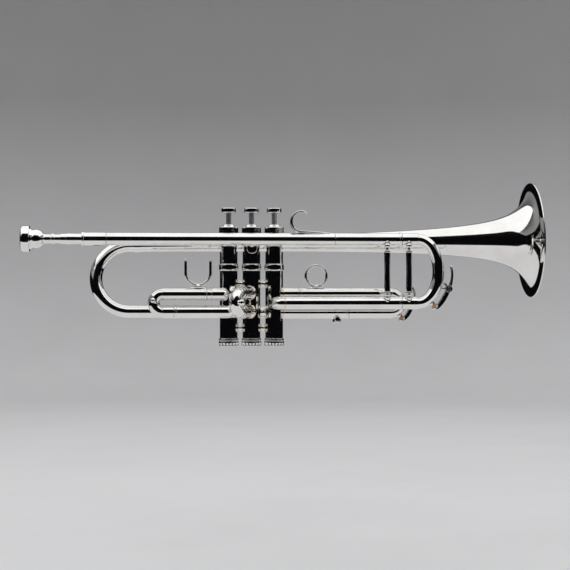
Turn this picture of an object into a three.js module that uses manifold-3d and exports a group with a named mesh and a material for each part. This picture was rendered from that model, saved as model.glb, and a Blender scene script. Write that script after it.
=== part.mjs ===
// A B-flat trumpet: millimetres, +Z up, +X from the mouthpiece towards the bell, -Y the player's right.
// The origin is on the second valve's axis, at the height where the hand closes round the casings.
// The leadpipe and the tuning slide run along the right side, the bell along the left, and the three
// valves stand between them. Pieces that meet keep GAP between them.

import * as THREE from 'three';
import { mergeVertices } from 'three/addons/utils/BufferGeometryUtils.js';
import Module from 'manifold-3d';

const wasm = await Module();
wasm.setup();

// ---------------------------------------------------------------- driving dimensions

const GAP = 0.3; // between separate pieces that meet
const TUBE_SIDES = 10; // facets round a slide tube
const VALVE_SIDES = 14; // facets round a valve casing and what is coaxial with it
const MOUTHPIECE_SIDES = 14;
const BELL_SIDES = 20;
const BELL_STATIONS = 10; // how many lengths the flare is made of

const SLEEVE_R = 6.6; // outer slide tubes
const SLEEVE_BORE = 6.05;
const INNER_R = 5.6; // the tubes that slide inside them
const INNER_BORE = 5.1;
const CROOK_R = 6.25; // the bent tubes that close a slide
const CROOK_BORE = 4.9;
const RING_R = 7.3; // the bead at the mouth of a slide tube
const RING_LENGTH = 2.2;
const SLIDE_PLAY = 0.5; // the gap that a closed slide keeps at its mouth

const LEADPIPE = { y: -18, z: 46.9, start: -148.9, end: 84.9, bore: 4.6 };
const MOUTHPIECE = { rimX: -235.2, length: 84.4 };
const LEADPIPE_POST = { footZ: 38, footR: 5.6, neckZ: 42.2, neckR: 2.4, front: -11.2 };
const RECEIVER = { start: -173.9, end: -149.2, ring: 7.65, r: 6.8 };

const VALVE = { pitch: 23.7, casingR: 9.15, bore: 8.2, bottom: -55.3, top: 52, thread: 8.8, travel: 11 };
const PISTON = { r: 7.75, bore: 6.9, bottom: -46.5, top: 15.5 };
const GUIDE = { bottom: 17.5, top: 19.5, hole: 3.2 }; // the ledge that a valve spring stands on
const STEM_R = 2.6;
const BUTTON = { bottom: 74.9, top: 80.2, r: 7.45 };
const SPRING_SEAT = { z: 45, r: 6.6, thickness: 2 };
const PORT_R = 5;

const BELL = { rimX: 300.6, rimZ: 47.9, y: 18.5, rimR: 61, wall: 0.8, endX: -118, endZ: 41.3 };
// The flare opens as a power of the distance back from the rim; its rings crowd towards the rim.
const FLARE = { power: 0.56, lead: 8, crowding: 2.4 };
const BOW = { centreX: -126, r: 6.5, bore: 5.8, tailY: 4.5, tailZ: -27.6 };

const MAIN = { upperZ: 46.9, lowerZ: -18.7, y: -18, mouth: 154.5, elbowX: 25, crookX: 171.7, reach: 21.8 };
const MAIN_LEG_START = 92; // how far back the tuning slide's inner legs reach
const BRACE = { y: -22.4, r: 2.9, ballR: 3.4, fixedX: 139.1, movingX: 161.8 };

const FIRST = { y: -10, upperZ: -9.6, lowerZ: -27.6, upperMouth: -46.9, lowerMouth: -79.9, crookX: -92.3 };
const FIRST_KNOB = { r: 2.5, neckR: 1.3, seat: 7, out: 9.5, rise: 3 };
const SECOND = { x: 2, yaw: 26.4, upperZ: -8, lowerZ: -27.3, mouth: 29.5, crook: 34.4, knobTurn: 58 };
const THIRD = { y: 0, upperZ: -9.4, lowerZ: -28.4, upperMouth: 49.6, lowerMouth: 101.2, crookX: 146.8 };

const HOOK = { x: 50.7, z: 65.2, outer: 11.8, band: 2.6, width: 8, footEnd: 81.3 }; // little finger
const THUMB_HOOK = { x: -55.6, armSpread: 25.9, wire: 1.4, top: 24.8, bendZ: 13.1 };
const FINGER_RING = { x: 67.6, z: 9.6, r: 10.9, wire: 1.15 };

// ---------------------------------------------------------------- materials

const metal = (color, roughness) => new THREE.MeshStandardMaterial({ color, roughness, metalness: 1 });
const silver = metal(0xd9d9d6, 0.12);
const steel = metal(0x8f9296, 0.35);
const piston = metal(0xb8b6ae, 0.25);
const cork = new THREE.MeshStandardMaterial({ color: 0xb27f52, roughness: 0.9, metalness: 0 });

// ---------------------------------------------------------------- solids and their joins

function signedVolume(positions, triangles) {
  const [a, b, c] = [new THREE.Vector3(), new THREE.Vector3(), new THREE.Vector3()];
  let volume = 0;
  for (let i = 0; i < triangles.length; i += 3) {
    a.fromArray(positions, triangles[i] * 3);
    b.fromArray(positions, triangles[i + 1] * 3);
    c.fromArray(positions, triangles[i + 2] * 3);
    volume += a.dot(b.cross(c)) / 6;
  }
  return volume;
}

// A closed geometry as a solid, with shared vertices merged, slivers dropped and faces turned outwards.
function toSolid(geometry) {
  const bare = geometry.clone();
  bare.deleteAttribute('normal');
  bare.deleteAttribute('uv');
  const merged = mergeVertices(bare, 1e-4);
  const positions = merged.attributes.position.array;
  const index = merged.index.array;
  const triangles = [];
  for (let i = 0; i < index.length; i += 3) {
    const [a, b, c] = index.slice(i, i + 3);
    if (a !== b && b !== c && c !== a) triangles.push(a, b, c);
  }
  if (signedVolume(positions, triangles) < 0) triangles.reverse();
  const triVerts = Uint32Array.from(triangles);
  return new wasm.Manifold(new wasm.Mesh({ numProp: 3, vertProperties: positions, triVerts }));
}

function toGeometry(solid) {
  const mesh = solid.getMesh();
  const geometry = new THREE.BufferGeometry();
  geometry.setAttribute('position', new THREE.BufferAttribute(mesh.vertProperties, 3));
  geometry.setIndex(new THREE.BufferAttribute(mesh.triVerts, 1));
  geometry.computeVertexNormals();
  return geometry;
}

const join = (first, ...others) =>
  toGeometry(others.reduce((solid, other) => solid.add(toSolid(other)), toSolid(first)));
const cut = (first, ...tools) =>
  toGeometry(tools.reduce((solid, tool) => solid.subtract(toSolid(tool)), toSolid(first)));

// ---------------------------------------------------------------- basic shapes

// A turned solid about +Y from [distance along the axis, radius] pairs.
function turned(profile, sides = TUBE_SIDES) {
  const points = profile.map(([along, radius]) => new THREE.Vector2(radius, along));
  return new THREE.LatheGeometry(points, sides);
}

// The same for a ring-shaped profile, which closes on itself.
const turnedRing = (profile, sides) => turned([...profile, profile[0]], sides);

const alongX = (geometry) => geometry.rotateZ(-Math.PI / 2);
const alongZ = (geometry) => geometry.rotateX(Math.PI / 2);

// A solid built about +Y, moved so that its base is at start and its axis points along direction.
function pointed(geometry, start, direction) {
  const up = new THREE.Vector3(0, 1, 0);
  geometry.applyQuaternion(new THREE.Quaternion().setFromUnitVectors(up, direction.clone().normalize()));
  return geometry.translate(start.x, start.y, start.z);
}

const rod = (radius, length, sides = TUBE_SIDES) =>
  turned([[0, 0], [0, radius], [length, radius], [length, 0]], sides);

// A solid rod between two points.
const rodBetween = (from, to, radius, sides) =>
  pointed(rod(radius, from.distanceTo(to), sides), from, to.clone().sub(from));

const point = (x, y, z) => new THREE.Vector3(x, y, z);

// A straight tube along +X at the given height and side, from one X to another.
function tubeX(from, to, y, z, outer, bore) {
  const profile = [[from, bore], [from, outer], [to, outer], [to, bore]];
  return alongX(turnedRing(profile)).translate(0, y, z);
}

const rodX = (from, to, y, z, radius, sides) => rodBetween(point(from, y, z), point(to, y, z), radius, sides);

function disc(radius) {
  const outline = new THREE.Shape();
  outline.absarc(0, 0, radius, 0, 2 * Math.PI, false);
  return outline;
}

function sweep(path, outline, steps, sides) {
  return new THREE.ExtrudeGeometry(outline, { steps, curveSegments: sides / 2, extrudePath: path });
}

// A bent tube: a ring swept along a curve.
function bentTube(path, outer, bore, steps) {
  const outline = disc(outer);
  outline.holes.push(disc(bore));
  return sweep(path, outline, steps, TUBE_SIDES);
}

// A curve from a function of 0 to 1.
class Along extends THREE.Curve {
  constructor(where) {
    super();
    this.where = where;
  }

  getPoint(t, target = new THREE.Vector3()) {
    return target.copy(this.where(t));
  }
}

// A half ellipse in the plane of X and the line from one leg to the other, bulging by reach along X.
function halfTurn(from, to, reach) {
  const middle = from.clone().add(to).multiplyScalar(0.5);
  const half = from.clone().sub(middle);
  return new Along((t) => {
    const angle = Math.PI * t;
    return middle.clone().addScaledVector(half, Math.cos(angle)).add(point(reach * Math.sin(angle), 0, 0));
  });
}

const trumpet = new THREE.Group();

function add(name, geometry, material, parent = trumpet) {
  const mesh = new THREE.Mesh(toGeometry(toSolid(geometry)), material);
  mesh.name = name;
  parent.add(mesh);
}

// ---------------------------------------------------------------- outlines that neighbours are cut by

const valveX = (number) => (number - 2) * VALVE.pitch;

function casingClearance(number) {
  const radius = VALVE.casingR + GAP;
  return rodBetween(point(valveX(number), 0, -70), point(valveX(number), 0, 70), radius, VALVE_SIDES);
}

const leadpipeClearance = () => rodX(-150, 160, LEADPIPE.y, LEADPIPE.z, SLEEVE_R + GAP, 16);

const bellTilt = Math.atan2(BELL.rimZ - BELL.endZ, BELL.rimX - BELL.endX);
const bellLength = Math.hypot(BELL.rimX - BELL.endX, BELL.rimZ - BELL.endZ);
const bellZ = (x) => BELL.endZ + (x - BELL.endX) * Math.tan(bellTilt);

// The flare: a power of the distance back from the rim.
const bellRadius = (distance) => BELL.rimR * (FLARE.lead / (distance + FLARE.lead)) ** FLARE.power;

const bellStations = (count) =>
  Array.from({ length: count + 1 }, (_, i) => bellLength * (i / count) ** FLARE.crowding);

const layBell = (geometry) => alongX(geometry).rotateY(-bellTilt).translate(BELL.endX, BELL.y, BELL.endZ);

function bellClearance() {
  const side = bellStations(BELL_STATIONS)
    .map((distance) => [bellLength - distance, bellRadius(distance) + GAP]);
  return layBell(turned([[bellLength, 0], ...side, [0, 0]], BELL_SIDES));
}

// ---------------------------------------------------------------- mouthpiece and leadpipe

function addMouthpiece() {
  const outside = [
    [0, 11.8], [1.6, 13.5], [8.8, 13.5], [9.6, 10.4], [16.2, 9.7], [19.6, 8.6], [23.2, 4.8], [29.8, 4.8],
    [31.2, 5.65], [32.8, 5.65], [34.2, 4.6], [39.6, 4.6], [40, 5.2], [45.6, 5.2], [46.1, 5.8],
    [MOUTHPIECE.length, 4.9],
  ];
  const inside = [
    [MOUTHPIECE.length, 4.2], [20.6, 1.9], [15.2, 2.8], [13, 5.2], [8, 7.4], [2, 8.4], [0, 10],
  ];
  const body = alongX(turnedRing([...outside, ...inside], MOUTHPIECE_SIDES));
  add('mouthpiece', body.translate(MOUTHPIECE.rimX, LEADPIPE.y, LEADPIPE.z), silver);
}

function addReceiver() {
  const { start, end, ring, r } = RECEIVER;
  const profile = [
    [start, 6.15], [start, ring - 0.4], [start + 0.6, ring], [start + 2.2, ring], [start + 2.8, r],
    [end - 1, r], [end, SLEEVE_R], [end, 5.35],
  ];
  const body = alongX(turnedRing(profile, MOUTHPIECE_SIDES)).translate(0, LEADPIPE.y, LEADPIPE.z);
  add('mouthpiece_receiver', body, silver);
}

function addLeadpipe() {
  const { start, end, bore, y, z } = LEADPIPE;
  const profile = [[start, bore], [start, SLEEVE_R], [end, SLEEVE_R], [end, INNER_BORE]];
  add('leadpipe', alongX(turnedRing(profile)).translate(0, y, z), silver);
}

// The hook that the right little finger rests in, on a long tapering foot.
function addPinkyHook() {
  const { x, z, outer, band, width, footEnd } = HOOK;
  const inner = outer - band;
  const tip = 0.36 * Math.PI;
  const footTop = z - inner;
  const footBottom = LEADPIPE.z + SLEEVE_R - 1.5;
  const shape = new THREE.Shape();
  shape.absarc(x, z, outer, tip, 1.45 * Math.PI, false);
  shape.lineTo(x - 1.8, footBottom);
  shape.lineTo(footEnd, footBottom);
  shape.lineTo(footEnd, footBottom + 2.2);
  shape.quadraticCurveTo(x + 12, footTop - 0.9, x + 2, footTop + 0.3);
  shape.absarc(x, z, inner, 1.48 * Math.PI, tip, true);
  const settings = { depth: width, steps: 1, bevelEnabled: false, curveSegments: 9 };
  const plate = new THREE.ExtrudeGeometry(shape, settings);
  plate.rotateX(Math.PI / 2).translate(0, LEADPIPE.y + width / 2, 0);
  add('pinky_hook', cut(plate, leadpipeClearance()), silver);
}

// The round foot on the middle casing, with the short neck above its centre that carries the leadpipe.
function addLeadpipePost() {
  const { footZ, footR, neckZ, neckR, front } = LEADPIPE_POST;
  const flange = rodBetween(point(0, -8, footZ), point(0, front, footZ), footR, 16);
  const neck = rodBetween(point(0, -8, neckZ), point(0, LEADPIPE.y, neckZ), neckR, 12);
  add('leadpipe_post', cut(join(flange, neck), casingClearance(2), leadpipeClearance()), silver);
}

// ---------------------------------------------------------------- bell and bow

function addBell() {
  const stations = bellStations(BELL_STATIONS);
  const outside = stations.map((distance) => [bellLength - distance, bellRadius(distance)]);
  const inside = stations.map((distance) => [bellLength - distance, bellRadius(distance) - BELL.wall]);
  outside[0] = [bellLength - 2.2, BELL.rimR - 3];
  const bead = [[-2.3, 1.2], [-1.6, 0], [-0.4, 0], [0, 0.6]]
    .map(([along, inwards]) => [bellLength + along, BELL.rimR - inwards]);
  inside[0] = [bellLength, BELL.rimR - 4];
  const profile = [...inside, ...outside.reverse(), ...bead];
  add('bell', layBell(turnedRing(profile, BELL_SIDES)), silver);
}

// The bow turns the bell's stem back to the first valve; its tail runs straight to the casing.
function addBellBow() {
  const stem = point(BOW.centreX, BELL.y, bellZ(BOW.centreX));
  const tail = point(BOW.centreX, BOW.tailY, BOW.tailZ);
  const bend = halfTurn(stem, tail, -stem.distanceTo(tail) / 2);
  const overlap = 0.4;
  const top = tubeX(BOW.centreX - overlap, BELL.endX - GAP, stem.y, stem.z, BOW.r, BOW.bore);
  const bottom = tubeX(BOW.centreX - overlap, valveX(1), tail.y, tail.z, BOW.r, BOW.bore);
  const bow = join(bentTube(bend, BOW.r, BOW.bore, 12), top, bottom);
  const end = new THREE.BoxGeometry(20, 20, 20).translate(valveX(1) + 10, 11.5, BOW.tailZ);
  add('bell_bow', cut(bow, casingClearance(1), end), silver);
}

// A cross brace between the leadpipe and the bell: a waisted post on two oval feet.
function addBellBrace(name, x, footLength) {
  const pipe = point(x, LEADPIPE.y, LEADPIPE.z);
  const bell = point(x, BELL.y, bellZ(x));
  const across = bell.clone().sub(pipe);
  const length = across.length();
  const bellSide = length - bellRadius(BELL.rimX - x);
  const pipeSide = SLEEVE_R;
  const waist = [
    [0, 0], [0, 3.4], [pipeSide + 3, 3.4], [pipeSide + 5, 2], [length / 2, 1.7], [bellSide - 5, 2],
    [bellSide - 3, 3.4], [length, 3.4], [length, 0],
  ];
  const foot = (from) => rod(1, 4, 12).scale(footLength / 2, 1, 3.6).translate(0, from, 0);
  const brace = join(turned(waist, 10), foot(pipeSide - 2.4), foot(bellSide - 1.6));
  add(name, cut(pointed(brace, pipe, across), leadpipeClearance(), bellClearance()), silver);
}

// ---------------------------------------------------------------- valves

// A valve port: a bore from the axis outwards at an azimuth in degrees, at a height.
function port(azimuth, z, radius = PORT_R) {
  const angle = THREE.MathUtils.degToRad(azimuth);
  return rodBetween(point(0, 0, z), point(12 * Math.cos(angle), 12 * Math.sin(angle), z), radius, 8);
}

const UPPER_PASSAGE = { z: 1.3, r: 4.1, bore: 2.8 };
const LOWER_PASSAGE = { z: -28.2, r: 6.2, bore: 5 };
const BOTTOM_SPACER = { z: -44.7, r: 3.9, bore: 0 };

const PORTS = {
  1: [[210, FIRST.upperZ], [237, FIRST.lowerZ], [150, BOW.tailZ]],
  2: [[257, SECOND.upperZ], [257, SECOND.lowerZ]],
  3: [[0, THIRD.upperZ], [0, THIRD.lowerZ], [284, MAIN.lowerZ]],
};

function casingPorts(number) {
  const passages = [];
  for (const { z, bore } of [UPPER_PASSAGE, LOWER_PASSAGE]) {
    if (number > 1) passages.push(port(180, z, bore));
    if (number < 3) passages.push(port(0, z, bore));
  }
  return [...passages, ...PORTS[number].map(([azimuth, z]) => port(azimuth, z))];
}

function casing(number) {
  const { casingR, bore, bottom, top, thread } = VALVE;
  const band = 0.7;
  const profile = [
    [bottom - 5.7, bore], [bottom - 5.7, thread], [bottom, thread], [bottom, casingR], [14.8, casingR],
    [14.8, casingR + band], [21.9, casingR + band], [21.9, casingR],
    [top, casingR], [top, thread], [top + 4, thread], [top + 4, bore], [GUIDE.top, bore],
    [GUIDE.top, GUIDE.hole], [GUIDE.bottom, GUIDE.hole], [GUIDE.bottom, bore],
  ];
  return cut(alongZ(turnedRing(profile, VALVE_SIDES)), ...casingPorts(number));
}

function topCap() {
  const base = VALVE.top + GAP;
  const inside = VALVE.thread + 0.4;
  const profile = [
    [base, inside], [base, 9.8], [53, 10.2], [59.2, 10.2], [60.6, 8.6], [61.6, 6], [62.6, 4.6],
    [62.6, STEM_R + 0.5], [57.5, STEM_R + 0.5], [57.5, inside],
  ];
  return alongZ(turnedRing(profile, VALVE_SIDES));
}

function bottomCap() {
  const base = VALVE.bottom - GAP;
  const inside = VALVE.thread + 0.4;
  const vent = 2.2;
  const profile = [
    [base, inside], [base, 10.1], [-60.8, 10.45], [-63.1, 10.2], [-63.1, vent], [-61.6, vent],
    [-61.6, inside],
  ];
  return alongZ(turnedRing(profile, VALVE_SIDES));
}

// A hollow piston with three pairs of ports, closed at the top where the stem screws in.
function pistonBody() {
  const { r, bore, bottom, top } = PISTON;
  const profile = [[top, 0], [top, r], [bottom, r], [bottom, bore], [top - 1.5, bore], [top - 1.5, 0]];
  const crossings = [[0, 0], [60, -17], [-60, -33]];
  const bores = crossings.map(([azimuth, z]) => {
    const angle = THREE.MathUtils.degToRad(azimuth);
    const side = point((r + 1) * Math.cos(angle), (r + 1) * Math.sin(angle), z);
    return rodBetween(side, point(-side.x, -side.y, z), 3.8, 8);
  });
  return cut(alongZ(turned(profile, VALVE_SIDES)), ...bores);
}

// The finger button on its stem, with the collar that the spring pushes up.
function fingerButton() {
  const { z, r, thickness } = SPRING_SEAT;
  const { bottom, top, r: buttonR } = BUTTON;
  const profile = [
    [PISTON.top + GAP, 0], [PISTON.top + GAP, STEM_R], [z, STEM_R], [z, r], [z + thickness, r],
    [z + thickness, STEM_R], [bottom, STEM_R], [bottom, buttonR - 1.5], [bottom + 1.4, buttonR],
    [top - 0.9, buttonR], [top, buttonR - 0.7], [top - 0.2, 0],
  ];
  return alongZ(turned(profile, TUBE_SIDES));
}

function valveSpring() {
  const [low, high] = [GUIDE.top + GAP, SPRING_SEAT.z - GAP];
  const wire = 0.5;
  const coilR = 5.4;
  const turns = 4;
  const height = high - low - 2 * wire;
  const helix = new Along((t) => {
    const angle = 2 * Math.PI * turns * t;
    return point(coilR * Math.cos(angle), coilR * Math.sin(angle), low + wire + height * t);
  });
  return sweep(helix, disc(wire), turns * 8, 4);
}

function addValve(number) {
  const valve = new THREE.Group();
  valve.position.x = valveX(number);
  trumpet.add(valve);
  add(`valve_casing_${number}`, casing(number), silver, valve);
  add(`top_cap_${number}`, topCap(), silver, valve);
  add(`bottom_cap_${number}`, bottomCap(), silver, valve);
  add(`piston_${number}`, pistonBody(), piston, valve);
  add(`finger_button_${number}`, fingerButton(), silver, valve);
  add(`valve_spring_${number}`, valveSpring(), steel, valve);
}

// A short waisted link between two neighbouring casings, hollow where air passes.
function addLink(name, number, { z, r, bore }) {
  const [start, middle, end] = [4, VALVE.pitch / 2, VALVE.pitch - 4];
  const outside = [[start, r], [middle, r - 0.4], [end, r]];
  const profile = bore > 0 ? [...outside, [end, bore], [start, bore], outside[0]]
    : [[start, 0], ...outside, [end, 0]];
  const link = alongX(turned(profile)).translate(valveX(number), 0, z);
  add(name, cut(link, casingClearance(number), casingClearance(number + 1)), silver);
}

function addLinks() {
  for (const number of [1, 2]) {
    const pair = `${number}_${number + 1}`;
    addLink(`upper_passage_${pair}`, number, UPPER_PASSAGE);
    addLink(`lower_passage_${pair}`, number, LOWER_PASSAGE);
    addLink(`bottom_spacer_${pair}`, number, BOTTOM_SPACER);
  }
}

// ---------------------------------------------------------------- slide tubes

// A tube along +X or -X (direction 1 or -1) with a bead round its mouth, reaching back from there.
function ringedTube(mouth, length, direction, y, z) {
  const profile = [
    [0, SLEEVE_BORE], [0, RING_R - 0.4], [0.4, RING_R], [RING_LENGTH, RING_R], [RING_LENGTH, SLEEVE_R],
    [length, SLEEVE_R], [length, SLEEVE_BORE],
  ];
  return pointed(turnedRing(profile), point(mouth, y, z), point(-direction, 0, 0));
}

// A leg that steps from the tube inside a sleeve to the thicker ferrule outside it.
function steppedLeg(from, step, to, y, z, direction) {
  const [inside, outside] = [Math.abs(step - from), Math.abs(to - from)];
  const profile = [
    [0, INNER_BORE], [0, INNER_R], [inside, INNER_R], [inside, SLEEVE_R], [outside, SLEEVE_R],
    [outside, INNER_BORE],
  ];
  return pointed(turnedRing(profile), point(from, y, z), point(direction, 0, 0));
}

function addMainSleeves() {
  const { upperZ, lowerZ, y, mouth, elbowX } = MAIN;
  const upperLength = mouth - LEADPIPE.end - GAP;
  add('main_slide_upper_sleeve', ringedTube(mouth, upperLength, 1, y, upperZ), silver);

  const bend = 7;
  const turn = new Along((t) => {
    const angle = (Math.PI / 2) * t;
    return point(elbowX + bend - bend * Math.sin(angle), y + bend - bend * Math.cos(angle), lowerZ);
  });
  const elbow = bentTube(turn, SLEEVE_R, SLEEVE_BORE, 5);
  const straight = ringedTube(mouth, mouth - elbowX - bend + GAP, 1, y, lowerZ);
  const profile = [[0, SLEEVE_BORE], [0, SLEEVE_R], [8, SLEEVE_R], [8, SLEEVE_BORE]];
  const inlet = turnedRing(profile).translate(elbowX, y + bend - GAP, lowerZ);
  add('main_slide_lower_sleeve', cut(join(straight, elbow, inlet), casingClearance(3)), silver);
}

// A round-ended tube that opens towards -X and hugs a casing, so that it leads round into it.
function cappedTube(mouth, end, y, z, beaded) {
  const dome = (radius, count) => Array.from({ length: count }, (_, i) => {
    const angle = (Math.PI / 2) * (1 - i / (count - 1));
    return [end - SLEEVE_R + radius * Math.sin(angle), radius * Math.cos(angle)];
  });
  const bead = [[mouth + RING_LENGTH, SLEEVE_R], [mouth + RING_LENGTH, RING_R], [mouth, RING_R]];
  const lip = beaded ? bead : [[mouth, SLEEVE_R]];
  const inside = [[mouth, SLEEVE_BORE], ...dome(SLEEVE_BORE, 4).reverse()];
  return alongX(turned([...dome(SLEEVE_R, 5), ...lip, ...inside])).translate(0, y, z);
}

// The fixed tube that a slide's upper leg runs over: a short ferrule from the casing, then the inner tube.
function fixedLeg(root, mouth, end, y, z, direction) {
  return steppedLeg(end, mouth - direction * SLIDE_PLAY, root, y, z, -direction);
}

function addFirstSleeves() {
  const { y, upperZ, lowerZ, upperMouth, lowerMouth, crookX } = FIRST;
  const root = upperMouth + SLIDE_PLAY + 5;
  const knuckle = cappedTube(root - 1, -23.5, y, upperZ, false);
  const leg = fixedLeg(root, upperMouth, crookX + 5, y, upperZ, -1);
  add('first_slide_upper_sleeve', cut(join(knuckle, leg), casingClearance(1)), silver);
  const lower = cappedTube(lowerMouth, -18, y, lowerZ, true);
  add('first_slide_lower_sleeve', cut(lower, casingClearance(1)), silver);
}

// A slide whose upper leg runs over a fixed inner tube and whose lower leg runs inside a fixed sleeve.
function mixedSlide({ y, upperZ, lowerZ, upperMouth, lowerMouth, crookX }, innerEnd) {
  const direction = Math.sign(crookX);
  const overlap = 0.4 * direction;
  const upper = ringedTube(upperMouth, Math.abs(crookX + overlap - upperMouth), -direction, y, upperZ);
  const step = lowerMouth + direction * SLIDE_PLAY;
  const lower = steppedLeg(innerEnd, step, crookX + overlap, y, lowerZ, direction);
  const reach = direction * (upperZ - lowerZ) / 2;
  const bend = halfTurn(point(crookX, y, upperZ), point(crookX, y, lowerZ), reach);
  return join(upper, lower, bentTube(bend, CROOK_R, CROOK_BORE, 8));
}

function addFirstSlide() {
  const { r, neckR, out, rise, seat } = FIRST_KNOB;
  const middleZ = (FIRST.upperZ + FIRST.lowerZ) / 2;
  const foot = point(FIRST.crookX - seat, FIRST.y - 5, middleZ);
  const head = point(FIRST.crookX - out, FIRST.y - CROOK_R - r, middleZ + rise);
  const knob = new THREE.SphereGeometry(r, 8, 5).translate(head.x, head.y, head.z);
  add('first_slide_tube', join(mixedSlide(FIRST, -40), rodBetween(foot, head, neckR, 8), knob), silver);
}

function addThumbHook() {
  const { x, armSpread, wire, top, bendZ } = THUMB_HOOK;
  const half = armSpread / 2;
  const arm = top - bendZ;
  const length = 2 * arm + Math.PI * half;
  const wirePath = new Along((t) => {
    const s = t * length;
    if (s < arm) return point(x - half, FIRST.y, top - s);
    if (s > length - arm) return point(x + half, FIRST.y, top - (length - s));
    const angle = Math.PI + (s - arm) / half;
    return point(x + half * Math.cos(angle), FIRST.y, bendZ + half * Math.sin(angle));
  });
  const saddle = rod(1, 5, 12).scale(7.4, 1, 4).rotateX(Math.PI / 2).translate(x - 1.4, FIRST.y, -5.2);
  const leg = rodX(-100, 0, FIRST.y, FIRST.upperZ, SLEEVE_R + GAP, 16);
  add('thumb_hook', cut(join(sweep(wirePath, disc(wire), 18, 6), saddle), leg), silver);
}

// The second slide leaves the middle casing to the player's right, turned a little back.
const yaw = THREE.MathUtils.degToRad(SECOND.yaw);
const secondOut = point(-Math.sin(yaw), -Math.cos(yaw), 0);
const secondPlace = (out, z) => point(SECOND.x, 0, z).addScaledVector(secondOut, out);

const secondTube = (z, start, profile) => pointed(turnedRing(profile), secondPlace(start, z), secondOut);

function addSecondSleeves() {
  const start = 4;
  const length = SECOND.mouth - start;
  const profile = [
    [0, SLEEVE_BORE], [0, SLEEVE_R], [length - RING_LENGTH, SLEEVE_R], [length - RING_LENGTH, RING_R],
    [length, RING_R], [length, SLEEVE_BORE],
  ];
  const { z, r } = LOWER_PASSAGE;
  const passage = rodX(-16, 0, 0, z, r + GAP, 16);
  const upper = secondTube(SECOND.upperZ, start, profile);
  const lower = secondTube(SECOND.lowerZ, start, profile);
  add('second_slide_upper_sleeve', cut(upper, casingClearance(2)), silver);
  add('second_slide_lower_sleeve', cut(lower, casingClearance(2), passage), silver);
}

function addSecondSlide() {
  const { upperZ, lowerZ, mouth, crook, knobTurn } = SECOND;
  const legStart = 14;
  const step = mouth + SLIDE_PLAY - legStart;
  const legLength = crook + 0.4 - legStart;
  const profile = [
    [0, INNER_BORE], [0, INNER_R], [step, INNER_R], [step, SLEEVE_R], [legLength, SLEEVE_R],
    [legLength, INNER_BORE],
  ];
  const half = (upperZ - lowerZ) / 2;
  const middleZ = (upperZ + lowerZ) / 2;
  const bend = new Along((t) => {
    const angle = Math.PI * t;
    return secondPlace(crook + half * Math.sin(angle), middleZ + half * Math.cos(angle));
  });
  const legs = [upperZ, lowerZ].map((z) => secondTube(z, legStart, profile));
  add('second_slide_tube', join(bentTube(bend, CROOK_R, CROOK_BORE, 8), ...legs), silver);

  // The pull knob stands on the crook's outermost point, turned towards the bell.
  const outline = [[0, 0], [0, 2.4], [0.8, 1.4], [1.8, 1.4], [2.4, 2.9], [5, 3.3], [6.6, 2], [6.6, 0]];
  const knob = turned(outline, 12);
  const facing = secondOut.clone().applyAxisAngle(point(0, 0, 1), THREE.MathUtils.degToRad(knobTurn));
  const seat = secondPlace(crook + half, middleZ).addScaledVector(facing, CROOK_R + GAP);
  add('second_slide_knob', pointed(knob, seat, facing), silver);
}

function addThirdSleeves() {
  const { y, upperZ, lowerZ, upperMouth, lowerMouth, crookX } = THIRD;
  const root = valveX(3) + 4;
  const upper = fixedLeg(root, upperMouth, crookX - 5, y, upperZ, 1);
  add('third_slide_upper_sleeve', cut(upper, casingClearance(3)), silver);
  const lower = ringedTube(lowerMouth, lowerMouth - root, 1, y, lowerZ);
  add('third_slide_lower_sleeve', cut(lower, casingClearance(3)), silver);
}

// The block under the third slide's lower sleeve, with its thumbscrew, that a stop rod clamps in.
function addThirdSlideStop() {
  const x = 89.2;
  const block = new THREE.BoxGeometry(8.2, 7, 8).translate(x, THIRD.y, THIRD.lowerZ - 7.2);
  const screw = rodBetween(point(x, THIRD.y - 7.5, -35), point(x, THIRD.y, -35), 2.2, 12);
  const sleeve = rodX(40, 110, THIRD.y, THIRD.lowerZ, SLEEVE_R + GAP, 16);
  add('third_slide_stop', cut(join(block, screw), sleeve), silver);
}

function addThirdSlide() {
  const nipple = nippleAt(THIRD_KEY, INNER_BORE + 0.2, CROOK_R + THIRD_KEY.nipple, THIRD_KEY.nippleR);
  add('third_slide_tube', join(mixedSlide(THIRD, 45), nipple), silver);
}

function addFingerRing() {
  const { x, z, r, wire } = FINGER_RING;
  const ring = new THREE.TorusGeometry(r, wire, 6, 20).rotateX(Math.PI / 2).translate(x, THIRD.y, z);
  const saddle = rod(1, 4.6, 12).scale(7.5, 1, 3.8).rotateX(Math.PI / 2).translate(x, THIRD.y, -4.4);
  const leg = rodX(40, 150, THIRD.y, THIRD.upperZ, SLEEVE_R + GAP, 16);
  add('finger_ring', cut(join(ring, saddle), leg), silver);
}

// ---------------------------------------------------------------- main tuning slide

const crookCentre = point(MAIN.crookX, MAIN.y, (MAIN.upperZ + MAIN.lowerZ) / 2);

function addMainSlide() {
  const { upperZ, lowerZ, y, mouth, crookX, reach } = MAIN;
  for (const [side, z] of [['upper', upperZ], ['lower', lowerZ]]) {
    const leg = steppedLeg(MAIN_LEG_START, mouth + SLIDE_PLAY, crookX - GAP, y, z, 1);
    add(`main_slide_${side}_leg`, leg, silver);
  }
  const bend = halfTurn(point(crookX, y, upperZ), point(crookX, y, lowerZ), reach);
  const nipple = nippleAt(MAIN_KEY, INNER_BORE + 0.2, CROOK_R + MAIN_KEY.nipple, MAIN_KEY.nippleR);
  add('main_slide_crook', join(bentTube(bend, CROOK_R, CROOK_BORE, 12), nipple), silver);
}

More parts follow.
